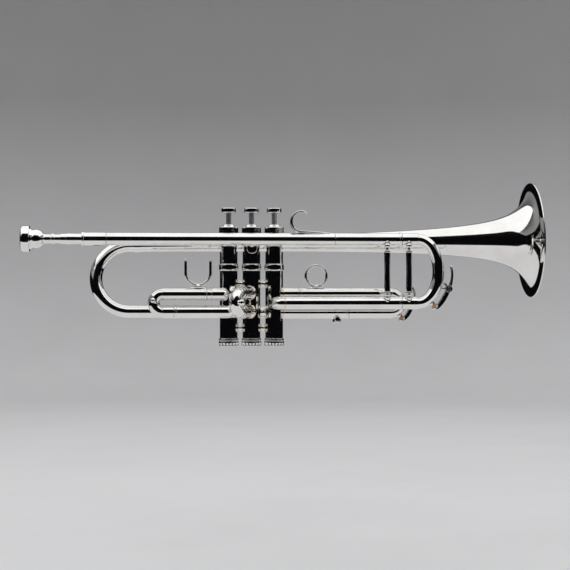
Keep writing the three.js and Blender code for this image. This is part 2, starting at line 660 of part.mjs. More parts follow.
// A brace in front of the slide's two tubes: a post with a neck and a ball at each end, on small pads.
function addSlideBrace(name, x) {
  const { y, r, ballR } = BRACE;
  const drop = Math.sqrt(SLEEVE_R ** 2 - (y - MAIN.y) ** 2);
  const [low, high] = [MAIN.lowerZ + drop, MAIN.upperZ - drop];
  const end = (z, inward) => [
    [z, 0], [z, ballR * 0.75], [z + inward * 1.5, ballR], [z + inward * 3.6, 1.5], [z + inward * 5.2, 1.5],
    [z + inward * 6, r + 0.3],
  ];
  const profile = [...end(low, 1), [(low + high) / 2, r - 0.3], ...end(high, -1).reverse()];
  const post = alongZ(turned(profile, 10)).translate(x, y, 0);
  const pads = [[MAIN.upperZ, -1], [MAIN.lowerZ, 1]].map(([z, side]) => {
    const outward = point(0, y - MAIN.y, side * drop).normalize();
    const centre = point(x, MAIN.y, z);
    const base = centre.clone().addScaledVector(outward, SLEEVE_R - 1);
    return rodBetween(base, centre.addScaledVector(outward, SLEEVE_R + 1.4), 3.8, 10);
  });
  const tubes = [MAIN.upperZ, MAIN.lowerZ].map((z) => rodX(120, 180, MAIN.y, z, SLEEVE_R + GAP, 16));
  add(name, cut(join(post, ...pads), ...tubes), silver);
}

// ---------------------------------------------------------------- water keys

// Each key: the crook's half ellipse, where round it the nipple stands (degrees down from its outermost
// point), and the pivot. Angles and places are in the plane of the crook.
const MAIN_KEY = {
  centre: crookCentre, reach: MAIN.reach, half: (MAIN.upperZ - MAIN.lowerZ) / 2,
  angle: 60, pivot: [204, -4.1], nipple: 2, nippleR: 2.5, width: 5, strip: 9,
};
const THIRD_KEY = {
  centre: point(THIRD.crookX, THIRD.y, (THIRD.upperZ + THIRD.lowerZ) / 2),
  reach: (THIRD.upperZ - THIRD.lowerZ) / 2, half: (THIRD.upperZ - THIRD.lowerZ) / 2,
  angle: 55, pivot: [167.8, -19.6], nipple: 1.7, nippleR: 2.2, width: 4.4, strip: 7,
};

// The outline that a saddle is cut by: its crook, solid and GAP larger.
function crookClearance({ centre, reach, half }) {
  const bend = halfTurn(centre.clone().add(point(0, 0, half)), centre.clone().sub(point(0, 0, half)), reach);
  return sweep(bend, disc(CROOK_R + GAP), 20, 20);
}

function crookPlace({ centre, reach, half }, degrees) {
  const angle = THREE.MathUtils.degToRad(degrees);
  const [c, s] = [Math.cos(angle), Math.sin(angle)];
  const at = point(centre.x + reach * c, centre.y, centre.z - half * s);
  const outward = point(c / reach, 0, -s / half).normalize();
  return { at, outward };
}

function nippleAt(key, from, to, radius) {
  const { at, outward } = crookPlace(key, key.angle);
  const [foot, tip] = [from, to].map((out) => at.clone().addScaledVector(outward, out));
  return rodBetween(foot, tip, radius, 12);
}

const PAD = { cork: 2, plate: 1.3 };

function addKeyCork(name, key) {
  const start = CROOK_R + key.nipple + GAP;
  add(name, nippleAt(key, start, start + PAD.cork, key.nippleR + 0.4), cork);
}

// The saddle soldered to the crook, with two ears that carry the pivot screw.
function addKeySaddle(name, key) {
  const [x, z] = key.pivot;
  const ear = (side) => {
    const y = key.centre.y + side * (key.width / 2 + 0.9);
    const arm = rodBetween(point(x, y - 0.6, z), point(x, y + 0.6, z), 2.6, 12);
    const toCrook = key.centre.clone().setZ(key.centre.z * 0.35 + z * 0.65).setY(y);
    const direction = toCrook.sub(point(x, y, z)).setY(0).normalize();
    const strip = new THREE.BoxGeometry(key.strip, 1.2, 3.4);
    strip.translate(key.strip / 2, 0, 0).rotateY(-Math.atan2(direction.z, direction.x)).translate(x, y, z);
    return join(arm, strip);
  };
  const pin = rodBetween(
    point(x, key.centre.y - key.width / 2 - 2, z), point(x, key.centre.y + key.width / 2 + 2, z), 0.9, 10,
  );
  add(name, cut(join(ear(-1), pin, ear(1)), crookClearance(key)), silver);
}

// The rocking lever: a curved plate from the cork's pad round the pivot to the finger plate.
function addWaterKey(name, key, outlinePoints) {
  const [x, z] = key.pivot;
  const shape = new THREE.Shape(outlinePoints.map(([px, pz]) => new THREE.Vector2(px, pz)));
  const plate = new THREE.ExtrudeGeometry(shape, { depth: key.width, steps: 1, bevelEnabled: false });
  plate.rotateX(Math.PI / 2).translate(0, key.centre.y + key.width / 2, 0);
  const half = key.width / 2;
  const across = (reach, radius, sides) =>
    rodBetween(point(x, key.centre.y - reach, z), point(x, key.centre.y + reach, z), radius, sides);
  const start = CROOK_R + key.nipple + GAP + PAD.cork + GAP;
  const pad = nippleAt(key, start, start + PAD.plate, key.nippleR + 0.6);
  const [barrel, hole] = [across(half, 2.4, 14), across(half + 1, 1.3, 10)];
  add(name, cut(join(plate, barrel, pad), hole), silver);
}

const MAIN_KEY_OUTLINE = [
  [189.4, -24.9], [191.2, -26.2], [194.6, -23.6], [199.2, -17.6], [203.8, -9.6], [206.4, -4.2], [208.2, 2],
  [209.2, 9], [208.6, 16], [207, 20.2], [205.2, 19.8], [206.6, 15.4], [207.2, 9], [206.2, 3], [203.4, -1.6], [201.8, -5],
  [199.8, -10.6], [195.4, -17.6], [191.2, -22.6],
];
const THIRD_KEY_OUTLINE = [
  [155.8, -37.3], [156.7, -38.6], [159.8, -38], [163.8, -34.8], [167.8, -30], [170.8, -24], [172.4, -17],
  [172.6, -12], [171.4, -6], [169.2, -0.6], [167.6, -1.2], [169.6, -6.4], [170.6, -12], [169.8, -15.6],
  [166.2, -17.6], [165.6, -22.5], [163.8, -28.5], [161.2, -33.5],
];

// ---------------------------------------------------------------- assembly

addMouthpiece();
addReceiver();
addLeadpipe();
addPinkyHook();
addLeadpipePost();
addBell();
addBellBow();
addBellBrace('bell_brace_rear', -54, 25);
addBellBrace('bell_brace_front', 137, 28);
for (const number of [1, 2, 3]) addValve(number);
addLinks();
addMainSleeves();
addSlideBrace('sleeve_brace', BRACE.fixedX);
addMainSlide();
addSlideBrace('main_slide_brace', BRACE.movingX);
addFirstSleeves();
addFirstSlide();
addThumbHook();
addSecondSleeves();
addSecondSlide();
addThirdSleeves();
addThirdSlideStop();
addThirdSlide();
addFingerRing();
addKeySaddle('main_water_key_saddle', MAIN_KEY);
addWaterKey('main_water_key', MAIN_KEY, MAIN_KEY_OUTLINE);
addKeyCork('main_water_key_cork', MAIN_KEY);
addKeySaddle('third_water_key_saddle', THIRD_KEY);
addWaterKey('third_water_key', THIRD_KEY, THIRD_KEY_OUTLINE);
addKeyCork('third_water_key_cork', THIRD_KEY);

export default trumpet;
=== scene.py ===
from collections import namedtuple
from math import atan2, copysign, cos, pi, radians, sin, sqrt, tan

import bmesh
import bpy
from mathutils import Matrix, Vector


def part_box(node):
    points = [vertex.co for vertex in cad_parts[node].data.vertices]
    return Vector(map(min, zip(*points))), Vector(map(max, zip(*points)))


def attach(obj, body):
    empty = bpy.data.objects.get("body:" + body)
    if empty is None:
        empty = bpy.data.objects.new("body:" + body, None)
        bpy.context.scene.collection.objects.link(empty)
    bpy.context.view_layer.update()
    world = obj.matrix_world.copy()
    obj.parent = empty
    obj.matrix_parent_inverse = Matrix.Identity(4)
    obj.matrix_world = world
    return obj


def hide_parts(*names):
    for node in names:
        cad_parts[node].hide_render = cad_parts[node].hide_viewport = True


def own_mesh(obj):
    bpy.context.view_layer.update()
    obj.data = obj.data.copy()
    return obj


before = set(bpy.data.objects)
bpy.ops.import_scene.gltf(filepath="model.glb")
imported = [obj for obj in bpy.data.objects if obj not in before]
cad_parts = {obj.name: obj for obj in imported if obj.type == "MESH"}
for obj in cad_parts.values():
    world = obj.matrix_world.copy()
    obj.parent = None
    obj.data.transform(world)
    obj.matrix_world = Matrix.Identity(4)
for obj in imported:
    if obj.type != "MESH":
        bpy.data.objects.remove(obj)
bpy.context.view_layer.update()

# ---- driving dimensions, in millimetres

MM = 0.001
SIDES = 56  # facets round a tube
FINE = 128  # facets round the bell
WALL = 0.55
TUBE_R = 6.6  # outer slide tubes
INNER_R = 5.6  # tubes that slide inside them
CROOK_R = 6.1  # bent tubes
BEAD_R = 7.3  # the bead at the mouth of a slide tube
BEAD_LENGTH = 2.2
BORE_R = INNER_R - WALL
PLAY = 0.5  # what a closed slide keeps at its mouth
CROOK_MARGIN = 6.25  # from a crook's middle line to the end of its node's box
CASING_R = 9.15
CASING_BORE = 8.2
THREAD_R = 8.75
CAP_FLOOR = 57.6  # the underside of a top cap's roof, where its felt lies
BUTTON_HEIGHT = 5.3
TUBE_END_R = 9.05  # tubes end this far from a valve's axis, in the casing's wall
FITTING_END_R = 6.15  # fittings end this far from a slide tube's axis, in the tube's wall

X, Y, Z = Vector((1, 0, 0)), Vector((0, 1, 0)), Vector((0, 0, 1))


def V(x, y, z):
    return Vector((x, y, z))


class Node:
    """A CAD node's box, in millimetres."""

    def __init__(self, name):
        low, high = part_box(name)
        self.low, self.high = low / MM, high / MM
        self.mid = (self.low + self.high) / 2
        self.size = self.high - self.low
        self.start = V(self.low.x, self.mid.y, self.mid.z)


def height_range(name):
    node = Node(name)
    return node.low.z, node.high.z


# ---- outlines


def soft(points, radius=0.3, closed=True, steps=3):
    """An outline with its corners rounded, and a point beside each corner to keep the flats flat."""
    points = [Vector(p) for p in points]
    count, result = len(points), []
    for i, here in enumerate(points):
        if not closed and i in (0, count - 1):
            result.append(here)
            continue
        back, on = points[i - 1] - here, points[(i + 1) % count] - here
        room = 0.45 * min(back.length, on.length)
        turn = pi - back.angle(on, 0)
        if turn < radians(14):
            result.append(here)
            continue
        reach = min(radius * tan(turn / 2), room)
        back.normalize()
        on.normalize()
        margin = min(1.3 * reach, 1.08 * room)
        result.append(here + back * margin)
        for k in range(steps + 1):
            t = k / steps
            result.append(here + back * reach * (1 - t) ** 2 + on * reach * t * t)
        result.append(here + on * margin)
    return result


def flow(points, steps=4):
    """A smooth curve through points."""
    points = [Vector(p) for p in points]
    padded = [2 * points[0] - points[1], *points, 2 * points[-1] - points[-2]]
    result = []
    for a, b, c, d in zip(padded, padded[1:], padded[2:], padded[3:]):
        for k in range(steps):
            t = k / steps
            result.append(
                0.5 * (2 * b + (c - a) * t + (2 * a - 5 * b + 4 * c - d) * t * t
                       + (3 * b - a - 3 * c + d) * t ** 3))
    return result + [points[-1]]


def round_section(radius, sides=SIDES):
    step = 2 * pi / sides
    return [(radius * cos(k * step), radius * sin(k * step)) for k in range(sides)]


def band_section(width, thickness, corner=0.5):
    w, h = width / 2, thickness / 2
    return soft([(-w, -h), (w, -h), (w, h), (-w, h)], corner)


# ---- shells


def shell(rings, closed=False):
    """Vertices and faces of a closed skin over rings of points; its two ends are filled unless closed."""
    count, rows = len(rings[0]), len(rings)
    verts = [p for outline in rings for p in outline]
    faces = []
    for i in range(rows if closed else rows - 1):
        j = (i + 1) % rows
        for k in range(count):
            n = (k + 1) % count
            faces.append((i * count + k, i * count + n, j * count + n, j * count + k))
    if not closed:
        for row in (0, rows - 1):
            verts.append(sum(rings[row], Vector()) / count)
            for k in range(count):
                faces.append((row * count + k, row * count + (k + 1) % count, len(verts) - 1))
    return verts, faces


def lathe(profile, origin, axis, sides=SIDES, closed=True, ripple=None):
    """A turned skin from (along, radius) pairs. ripple(along, angle) adds to the radius."""
    axis = Vector(axis).normalized()
    u = axis.cross(Y if abs(axis.y) < 0.9 else Z).normalized()
    v = axis.cross(u)
    rings = []
    for along, radius in profile:
        circle = []
        for k in range(sides):
            angle = 2 * pi * k / sides
            r = radius + (ripple(along, angle) if ripple and radius > 0 else 0)
            circle.append(origin + axis * along + (u * cos(angle) + v * sin(angle)) * r)
        rings.append(circle)
    return shell(rings, closed)


def ring(profile, origin, axis, sides=SIDES, corner=0.3, ripple=None):
    """A turned piece with a hole along its axis and rounded corners."""
    return lathe(soft(profile, corner), origin, axis, sides, ripple=ripple)


def solid(profile, origin, axis, sides=SIDES, corner=0.3, ripple=None):
    """A turned piece whose outline starts and ends on its axis, with rounded corners."""
    return lathe(soft(profile, corner, closed=False), origin, axis, sides, closed=False, ripple=ripple)


def rings_along(path, section, normal):
    """Rings of a section, or of section(t), across a path, their first axis kept near normal."""
    path = [Vector(p) for p in path]
    rings = []
    for i, here in enumerate(path):
        ahead = path[min(i + 1, len(path) - 1)] - path[max(i - 1, 0)]
        tangent = ahead.normalized()
        a = (normal - tangent * normal.dot(tangent)).normalized()
        b = tangent.cross(a)
        outline = section(i / (len(path) - 1)) if callable(section) else section
        rings.append([here + a * s + b * t for s, t in outline])
    return rings


def sweep(path, section, normal):
    return shell(rings_along(path, section, normal))


def pipe(path, radius, bore, normal=Y, sides=SIDES):
    """A hollow tube along a path."""
    outside = rings_along(path, round_section(radius, sides), normal)
    inside = rings_along(path, round_section(bore, sides), normal)
    return shell(outside + inside[::-1], closed=True)


def half_turn(start, end, reach, steps=48):
    """Points of a half ellipse from start to end that bulges by the vector reach."""
    middle, half = (start + end) / 2, (start - end) / 2
    angles = [pi * k / steps for k in range(steps + 1)]
    return [middle + half * cos(a) + reach * sin(a) for a in angles]


def line(start, end, steps=1):
    return [start.lerp(end, k / steps) for k in range(steps + 1)]


def ball(centre, radius, squeeze=1.0, axis=Z):
    """A round knob, flattened along its axis by squeeze."""
    profile = []
    for k in range(17):
        angle = pi * k / 16
        profile.append((-radius * squeeze * cos(angle), radius * sin(angle)))
    profile[0] = (profile[0][0], 0)
    profile[-1] = (profile[-1][0], 0)
    return lathe(profile, centre, axis, 28, closed=False)


def saddle(centre, radius, around, half_length, half_width, rise, power=2.0, sink=0.5):
    """A low pad soldered round a tube along X: centre is on the tube's axis, around the angle from +Z
    towards +Y that the pad faces, and power 2 gives an oval and less gives a diamond."""
    sides, steps = 48, 9
    rings = []
    shares = [(k + 1) / steps for k in range(steps)]
    top = [(share, rise * (1 - share ** 6) ** 0.5) for share in shares]
    underside = [(share, -sink) for share in (1.0, 0.5, 0.1)]
    for share, lift in top + underside:
        outline = []
        for k in range(sides):
            angle = 2 * pi * k / sides
            c, s = cos(angle), sin(angle)
            u = half_length * share * copysign(abs(c) ** (2 / power), c)
            v = half_width * share * copysign(abs(s) ** (2 / power), s)
            turn = around + v / radius
            r = radius + lift
            outline.append(centre + V(u, r * sin(turn), r * cos(turn)))
        rings.append(outline)
    return shell(rings)


def keep_out(shells, point, axis, radius, along=None):
    """Moves what is nearer than radius to an axis out to it: back along a direction, or straight away."""
    result = []
    for verts, faces in shells:
        moved = []
        for p in verts:
            offset = p - point
            offset -= axis * offset.dot(axis)
            if offset.length < radius:
                way = along or offset.normalized()
                reach = offset.dot(way)
                p = p + way * (sqrt(reach * reach - offset.length_squared + radius * radius) - reach)
            moved.append(p)
        result.append((moved, faces))
    return result


def end_at_valve(shells, number, along=None):
    """Ends tubes in the wall of a casing, clear of its piston."""
    return keep_out(shells, V(Node(f"valve_casing_{number}").mid.x, 0, 0), Z, TUBE_END_R, along)


def clear_of_bore(shells, y, z):
    """Ends fittings in the wall of a slide tube, clear of what slides in it."""
    return keep_out(shells, V(0, y, z), X, FITTING_END_R)


# ---- materials


def new_material(name):
    material = bpy.data.materials.new(name)
    material.use_nodes = True
    tree = material.node_tree
    shader = next(n for n in tree.nodes if n.type == "BSDF_PRINCIPLED")
    place = tree.nodes.new("ShaderNodeTexCoord").outputs["Object"]
    return material, tree, shader, place


def new_node(tree, kind, socket, source, values):
    """A texture or converter node with its values set, fed through one socket."""
    node = tree.nodes.new(kind)
    for name, value in values.items():
        node.inputs[name].default_value = value
    tree.links.new(source, node.inputs[socket])
    return node


def noise(tree, place, scale, detail, rough=0.55):
    values = {"Scale": scale, "Detail": detail, "Roughness": rough}
    return new_node(tree, "ShaderNodeTexNoise", "Vector", place, values).outputs["Fac"]


def spread(tree, value, low, high, start=0.35, end=0.65):
    """value from start to end mapped to low to high."""
    values = {"From Min": start, "From Max": end, "To Min": low, "To Max": high}
    return new_node(tree, "ShaderNodeMapRange", "Value", value, values).outputs["Result"]


def ramp(tree, value, *stops):
    node = tree.nodes.new("ShaderNodeValToRGB")
    elements = node.color_ramp.elements
    while len(elements) < len(stops):
        elements.new(0.5)
    for element, (where, colour) in zip(elements, stops):
        element.position = where
        element.color = (*colour, 1)
    tree.links.new(value, node.inputs["Fac"])
    return node.outputs["Color"]


def bump(tree, shader, height, distance):
    node = new_node(tree, "ShaderNodeBump", "Height", height, {"Distance": distance, "Strength": 1.0})
    tree.links.new(node.outputs["Normal"], shader.inputs["Normal"])


def polished(name, light, dark, rough, wave=0.00003):
    """Polished metal: cloudy wiping marks in its gloss, faint tone changes and a slightly uneven skin."""
    material, tree, shader, place = new_material(name)
    shader.inputs["Metallic"].default_value = 1.0
    clouds = noise(tree, place, 45, 4)
    tree.links.new(ramp(tree, clouds, (0.38, dark), (0.62, light)), shader.inputs["Base Color"])
    marks = noise(tree, place, 260, 5, 0.7)
    tree.links.new(spread(tree, marks, *rough), shader.inputs["Roughness"])
    bump(tree, shader, noise(tree, place, 120, 2), wave)
    return material


def grained(name, texture, stops, depth):
    """A material whose colour and skin follow one noise texture, given by its scale, detail and roughness."""
    material, tree, shader, place = new_material(name)
    grains = noise(tree, place, *texture)
    tree.links.new(ramp(tree, grains, *stops), shader.inputs["Base Color"])
    bump(tree, shader, grains, depth)
    return material, shader, grains


def cork_material():
    dark, middle, light = (0.16, 0.07, 0.03), (0.55, 0.3, 0.15), (0.72, 0.46, 0.26)
    stops = (0.3, dark), (0.48, middle), (0.7, light)
    material, shader = grained("cork", (1800, 6, 0.75), stops, 0.0002)[:2]
    shader.inputs["Roughness"].default_value = 0.85
    return material


def pearl_material():
    green, pink, blue = (0.78, 0.82, 0.8), (0.9, 0.86, 0.85), (0.82, 0.88, 0.9)
    stops = (0.3, green), (0.5, pink), (0.7, blue)
    material, shader, bands = grained("pearl", (420, 2, 0.4), stops, 0.00003)
    tree = material.node_tree
    tree.links.new(spread(tree, bands, 0.12, 0.25), shader.inputs["Roughness"])
    shader.inputs["Coat Weight"].default_value = 0.6
    return material


def felt_material():
    stops = (0.3, (0.01, 0.01, 0.012)), (0.7, (0.05, 0.05, 0.055))
    material, shader = grained("felt", (3500, 6, 0.8), stops, 0.0003)[:2]
    shader.inputs["Roughness"].default_value = 0.95
    shader.inputs["Sheen Weight"].default_value = 0.4
    return material


SILVER = polished("silver_plate", (0.96, 0.95, 0.93), (0.9, 0.885, 0.855), (0.035, 0.085))
WARM = polished("silver_at_joints", (0.93, 0.87, 0.78), (0.84, 0.73, 0.58), (0.1, 0.22), 0.00006)
NICKEL = polished("piston_alloy", (0.72, 0.7, 0.65), (0.62, 0.6, 0.56), (0.16, 0.3))
SATIN = polished("satin_stem", (0.8, 0.8, 0.83), (0.66, 0.66, 0.7), (0.3, 0.42))
STEEL = polished("spring_steel", (0.5, 0.5, 0.52), (0.36, 0.36, 0.38), (0.22, 0.4))
CORK = cork_material()
PEARL = pearl_material()
FELT = felt_material()


# ---- pieces


def add(name, data):
    obj = bpy.data.objects.new(name, data)
    bpy.context.scene.collection.objects.link(obj)
    return obj


def piece(name, body, shells, material=SILVER, replaces=(), even=True):
    """One visible piece: its shells in one mesh, riding on a body and standing for CAD nodes."""
    verts, faces = [], []
    for some_verts, some_faces in shells:
        start = len(verts)
        verts += [p * MM for p in some_verts]
        faces += [tuple(i + start for i in face) for face in some_faces]
    mesh = bpy.data.meshes.new(name)
    mesh.from_pydata(verts, [], faces)
    work = bmesh.new()
    work.from_mesh(mesh)
    bmesh.ops.remove_doubles(work, verts=work.verts, dist=2e-7)
    bmesh.ops.dissolve_degenerate(work, edges=work.edges, dist=1e-8)
    bmesh.ops.recalc_face_normals(work, faces=work.faces)
    for face in work.faces:
        face.smooth = True
    work.to_mesh(mesh)
    work.free()
    mesh.materials.append(material)
    obj = add(name, mesh)
    if even:
        obj.modifiers.new("even_normals", "WEIGHTED_NORMAL").keep_sharp = True
    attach(obj, body)
    if replaces:
        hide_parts(*replaces)
    return obj


# ---- mouthpiece, receiver, leadpipe


def make_mouthpiece():
    node = Node("mouthpiece")
    end = node.size.x
    rim = flow([(0.4, 9.2), (0, 10.4), (0.1, 11.4), (0.6, 12.5), (1.6, 13.25), (3.0, 13.5)])
    shoulder = [(8.5, 13.5), (8.9, 13.1), (9.0, 10.85), (10.4, 10.4)]
    cup = flow([(11.9, 9.35), (12.3, 9.2), (13.2, 9.45), (14.6, 9.6), (16.4, 9.55), (18.4, 9.1),
                (20.4, 8.1), (22, 6.8), (23, 5.6), (24.2, 4.85)])
    bead = flow([(29.8, 4.75), (30.5, 5.0), (31.1, 5.5), (32, 5.75), (32.9, 5.5), (33.5, 5.0), (34.3, 4.65)])
    shank = [(39.6, 4.6), (39.6, 5.25), (45.5, 5.3), (45.6, 5.75), (end, 4.9), (end, 4.25)]
    inside = flow([(58.6, 3.2), (20.6, 1.9), (17, 2.1), (15, 3.2), (12.8, 5.3), (10.4, 6.6), (7.6, 7.5),
                   (4, 8.1), (1.4, 8.5)])
    body = ring([*rim, *shoulder, *cup, *bead, *shank, *inside], node.start, X, 96, 0.35)
    piece("mouthpiece_body", "mouthpiece", [body], replaces=["mouthpiece"])


def make_leadpipe():
    node = Node("mouthpiece_receiver")
    end = node.size.x
    outline = [(0, 6.1), (0, 7.3), (0.5, 7.6), (1.9, 7.6), (2.5, 6.95), (3.4, 6.75), (end, 6.75), (end, 5.4)]
    piece("receiver_sleeve", "root", [ring(outline, node.start, X, 72, 0.35)],
          replaces=["mouthpiece_receiver"])

    node = Node("leadpipe")
    outline = [(0, 5.3), (0, TUBE_R), (node.size.x, TUBE_R), (node.size.x, 5.3)]
    piece("leadpipe_tube", "root", [ring(outline, node.start, X, 72, 0.2)], replaces=["leadpipe"])


def make_pinky_hook():
    lead, node = Node("leadpipe"), Node("pinky_hook")
    y, top = lead.mid.y, lead.mid.z + TUBE_R
    radius = 10.5
    centre = V(node.low.x + radius + 1.3, y, top + 1.2 + radius)
    start, end = radians(62), radians(262)
    arc = [centre + V(cos(a), 0, sin(a)) * radius
           for a in (start + (end - start) * k / 40 for k in range(41))]
    foot = flow([arc[-1], V(centre.x + 3.5, y, top + 1.15), V(centre.x + 12, y, top + 0.7),
                 V(centre.x + 22, y, top + 0.1), V(node.high.x, y, top - 0.5)], 8)

    def section(t):
        tip = sin(min(1.0, t / 0.08) * pi / 2)
        tail = max(0.0, (t - 0.62) / 0.38)
        width = 8 * (0.72 + 0.28 * tip) * (1 - 0.45 * tail * tail)
        thickness = 2.3 * (0.6 + 0.4 * tip) * (1 - 0.25 * tail)
        return band_section(width, thickness, 0.9)

    hook = sweep(arc + foot[1:], section, Y)
    pad = saddle(V(centre.x + 13, y, lead.mid.z), TUBE_R, 0, 18, 4.4, 0.9)
    piece("little_finger_hook", "root", [hook, pad, ball(arc[0], 1.35)], replaces=["pinky_hook"])


def make_leadpipe_post():
    lead, node = Node("leadpipe"), Node("leadpipe_post")
    flange_r, flange_y, neck_y, neck_rise = 5.6, -8.6, -9.6, 4.2
    foot = V(0, flange_y, node.low.z + flange_r)
    flange = solid([(0, 0), (0, flange_r), (2.0, flange_r), (2.5, flange_r - 0.5), (2.5, 0)], foot, -Y, 64)
    low = V(0, neck_y, foot.z + neck_rise)
    across = V(0, lead.mid.y, lead.mid.z) - low
    length = across.length
    outline = [(0, 0), (0, 3.4), (1.5, 2.7), (length - 6, 2.6), (length - 4, 0)]
    neck = lathe(outline, low, across, 40, closed=False)
    piece("leadpipe_stay", "root", [flange, neck], replaces=["leadpipe_post"])


# ---- bell


BELL_TILT = atan2(6.6, 418.6)
BELL_R = 61.0
FLARE_LEAD, FLARE_POWER = 8, 0.56  # the flare opens as a power of the distance back from the rim
FLARE_CROWDING = 2.4  # its rings crowd towards the rim
BOW_R = 6.5
BOW_REACH = 41.5  # from the bow's far side to where its straight tubes begin


def bell_line():
    """The rim's centre, the direction that the bell faces and the bell's length."""
    node = Node("bell")
    forward = V(cos(BELL_TILT), 0, sin(BELL_TILT))
    rim = V(node.high.x - BELL_R * sin(BELL_TILT), node.mid.y, node.mid.z)
    return rim, forward, (rim.x - node.low.x) / forward.x


def on_bell_axis(x):
    rim = bell_line()[0]
    return V(x, rim.y, rim.z + (x - rim.x) * tan(BELL_TILT))


def bell_radius(distance):
    return BELL_R * (FLARE_LEAD / (distance + FLARE_LEAD)) ** FLARE_POWER


def make_bell():
    rim, forward, length = bell_line()
    distances = [length * (k / 110) ** FLARE_CROWDING for k in range(7, 111)]
    outside = [(-d, bell_radius(d)) for d in distances if d > 2.2]
    inside = [(-d, bell_radius(d) - WALL) for d in distances if d > 0.9]
    angles = [radians(20 + 14 * k) for k in range(16)]
    bead = [(-0.95 - cos(a), BELL_R - 1.0 + sin(a)) for a in angles]
    outline = inside[::-1] + [(-0.3, BELL_R - 3.2)] + bead[::-1][:14] + outside
    piece("bell_flare", "root", [lathe(outline, rim, forward, FINE)], replaces=["bell"])


def make_bow():
    rim, forward, length = bell_line()
    node = Node("bell_bow")
    stem = on_bell_axis(node.low.x + BOW_REACH)
    tail = V(stem.x, 4.5, node.low.z + BOW_R)
    bend = half_turn(stem, tail, -X * (stem - tail).length / 2, 64)
    start, end = rim - forward * length, V(node.high.x - 1.5, tail.y, tail.z)
    path = line(start, stem)[:-1] + bend + line(tail, end)[1:]
    tube = pipe(path, BOW_R, BOW_R - WALL, (stem - tail).cross(X).normalized(), 64)
    seam = ring([(-4, 6.4), (-4, 7.2), (4, 7.2), (4, 6.4)], start, forward, 64, 0.5)
    low, high, foot_x = BOW_R - 0.1, BOW_R + 0.7, node.high.x - 8.6
    foot = ring([(0, low), (0, high), (5.5, high), (5.5, low)], V(foot_x, tail.y, tail.z), X, 64, 0.5)
    piece("bell_bow_tube", "root", end_at_valve([tube, seam, foot], 1, -X), replaces=["bell_bow"])


def make_bell_brace(name, node_name, half_length):
    lead, node = Node("leadpipe"), Node(node_name)
    pipe_axis, bell_axis = V(node.mid.x, lead.mid.y, lead.mid.z), on_bell_axis(node.mid.x)
    bell_r = bell_radius(bell_line()[0].x - node.mid.x)
    across = bell_axis - pipe_axis
    around = atan2(across.y, across.z)
    near, far = TUBE_R, across.length - bell_r
    middle = (near + far) / 2
    foot = flow([(near - 1, 4), (near + 1.2, 3.2), (near + 3, 2.2), (middle - 1.6, 1.7)], 3)
    bead = [(middle - 1.1, 2.7), (middle + 1.1, 2.7)]
    head = flow([(middle + 1.6, 1.7), (far - 3, 2.2), (far - 1.2, 3.2), (far + 1, 4)], 3)
    shells = [lathe(foot + bead + head, pipe_axis, across, 40, closed=False),
              saddle(pipe_axis, TUBE_R, around, half_length, 4.0, 1.1, 1.5),
              saddle(bell_axis, bell_r, around + pi, half_length, 4.0, 1.1, 1.5, 1.0)]
    piece(name, "root", clear_of_bore(shells, lead.mid.y, lead.mid.z), replaces=[node_name])


# ---- valves


def knurl(count, depth, low, high, fade=0.6):
    def ripple(along, angle):
        edge = min(1.0, max(0.0, (along - low) / fade), max(0.0, (high - along) / fade))
        return -depth * edge * (0.5 + 0.5 * cos(count * angle))
    return ripple


def scallops(along, angle):
    """The waves round the bottom edge of a bottom cap."""
    share = min(1.0, max(0.0, (-60.2 - along) / 1.6)) * min(1.0, max(0.0, (along + 63.0) / 0.5))
    return -0.75 * share * abs(cos(9 * angle)) ** 1.5


def level_rows(low, high, radius, count):
    return [(low + (high - low) * k / count, radius) for k in range(count + 1)]


def make_casing(number, axis):
    name = f"valve_casing_{number}"
    (low, high), r = height_range(name), CASING_R
    band = flow([(15, r + 0.35), (15.9, r + 0.72), (18.35, r + 0.95), (20.8, r + 0.72), (21.7, r + 0.35)], 3)
    ledge = [(19.5, CASING_BORE), (19.5, 3.2), (17.5, 3.2), (17.5, CASING_BORE)]
    outline = [(low, CASING_BORE), (low, THREAD_R), (low + 5.7, THREAD_R), (low + 5.7, r), (14.8, r), *band,
               (21.9, r), (high - 4, r), (high - 4, THREAD_R), (high, THREAD_R), (high, CASING_BORE), *ledge]
    piece(f"casing_{number}", "root", [ring(outline, axis, Z, 80, 0.25)], replaces=[name])


def make_caps(number, axis):
    name = f"top_cap_{number}"
    low, high = height_range(name)
    barrel = [(low + 0.8 + 0.6 * k, 10.0 - 0.12 * ((k - 5.5) / 5.5) ** 2) for k in range(12)]
    boss = flow([(low + 8.4, 8.6), (low + 8.6, 7.2), (low + 9.0, 6.2), (low + 9.7, 5.5),
                 (low + 10.3, 5.0)], 3)
    outline = [(low, 9), (low, 9.5), *barrel, (low + 8.0, 9.5), *boss, (high - 0.5, 4.2), (high - 0.5, 3.15),
               (CAP_FLOOR, 3.15), (CAP_FLOOR, 9)]
    ripple = knurl(48, 0.22, low + 1.0, low + 7.2, 1.5)
    piece(f"cap_{number}", "root", [ring(outline, axis, Z, 300, ripple=ripple)], replaces=[name])

    name = f"bottom_cap_{number}"
    low, high = height_range(name)
    grip = [(high, 9.2), (high, 9.9), (high - 0.7, 10.1), (high - 1.6, 10.1), (high - 2, 9.75),
            (high - 2.6, 9.75), (high - 3, 10.2), *level_rows(high - 3.4, low + 0.5, 10.3, 10)]
    floor = [(low + 0.1, 10.0), (low, 9.4), (low, 6.4), (low + 0.7, 5.6), (low + 0.7, 2.2), (low + 1.5, 2.2),
             (low + 1.5, 9.2)]
    shells = [ring([*grip, *floor], axis, Z, 216, 0.25, scallops)]
    piece(f"base_cap_{number}", "root", shells, replaces=[name])


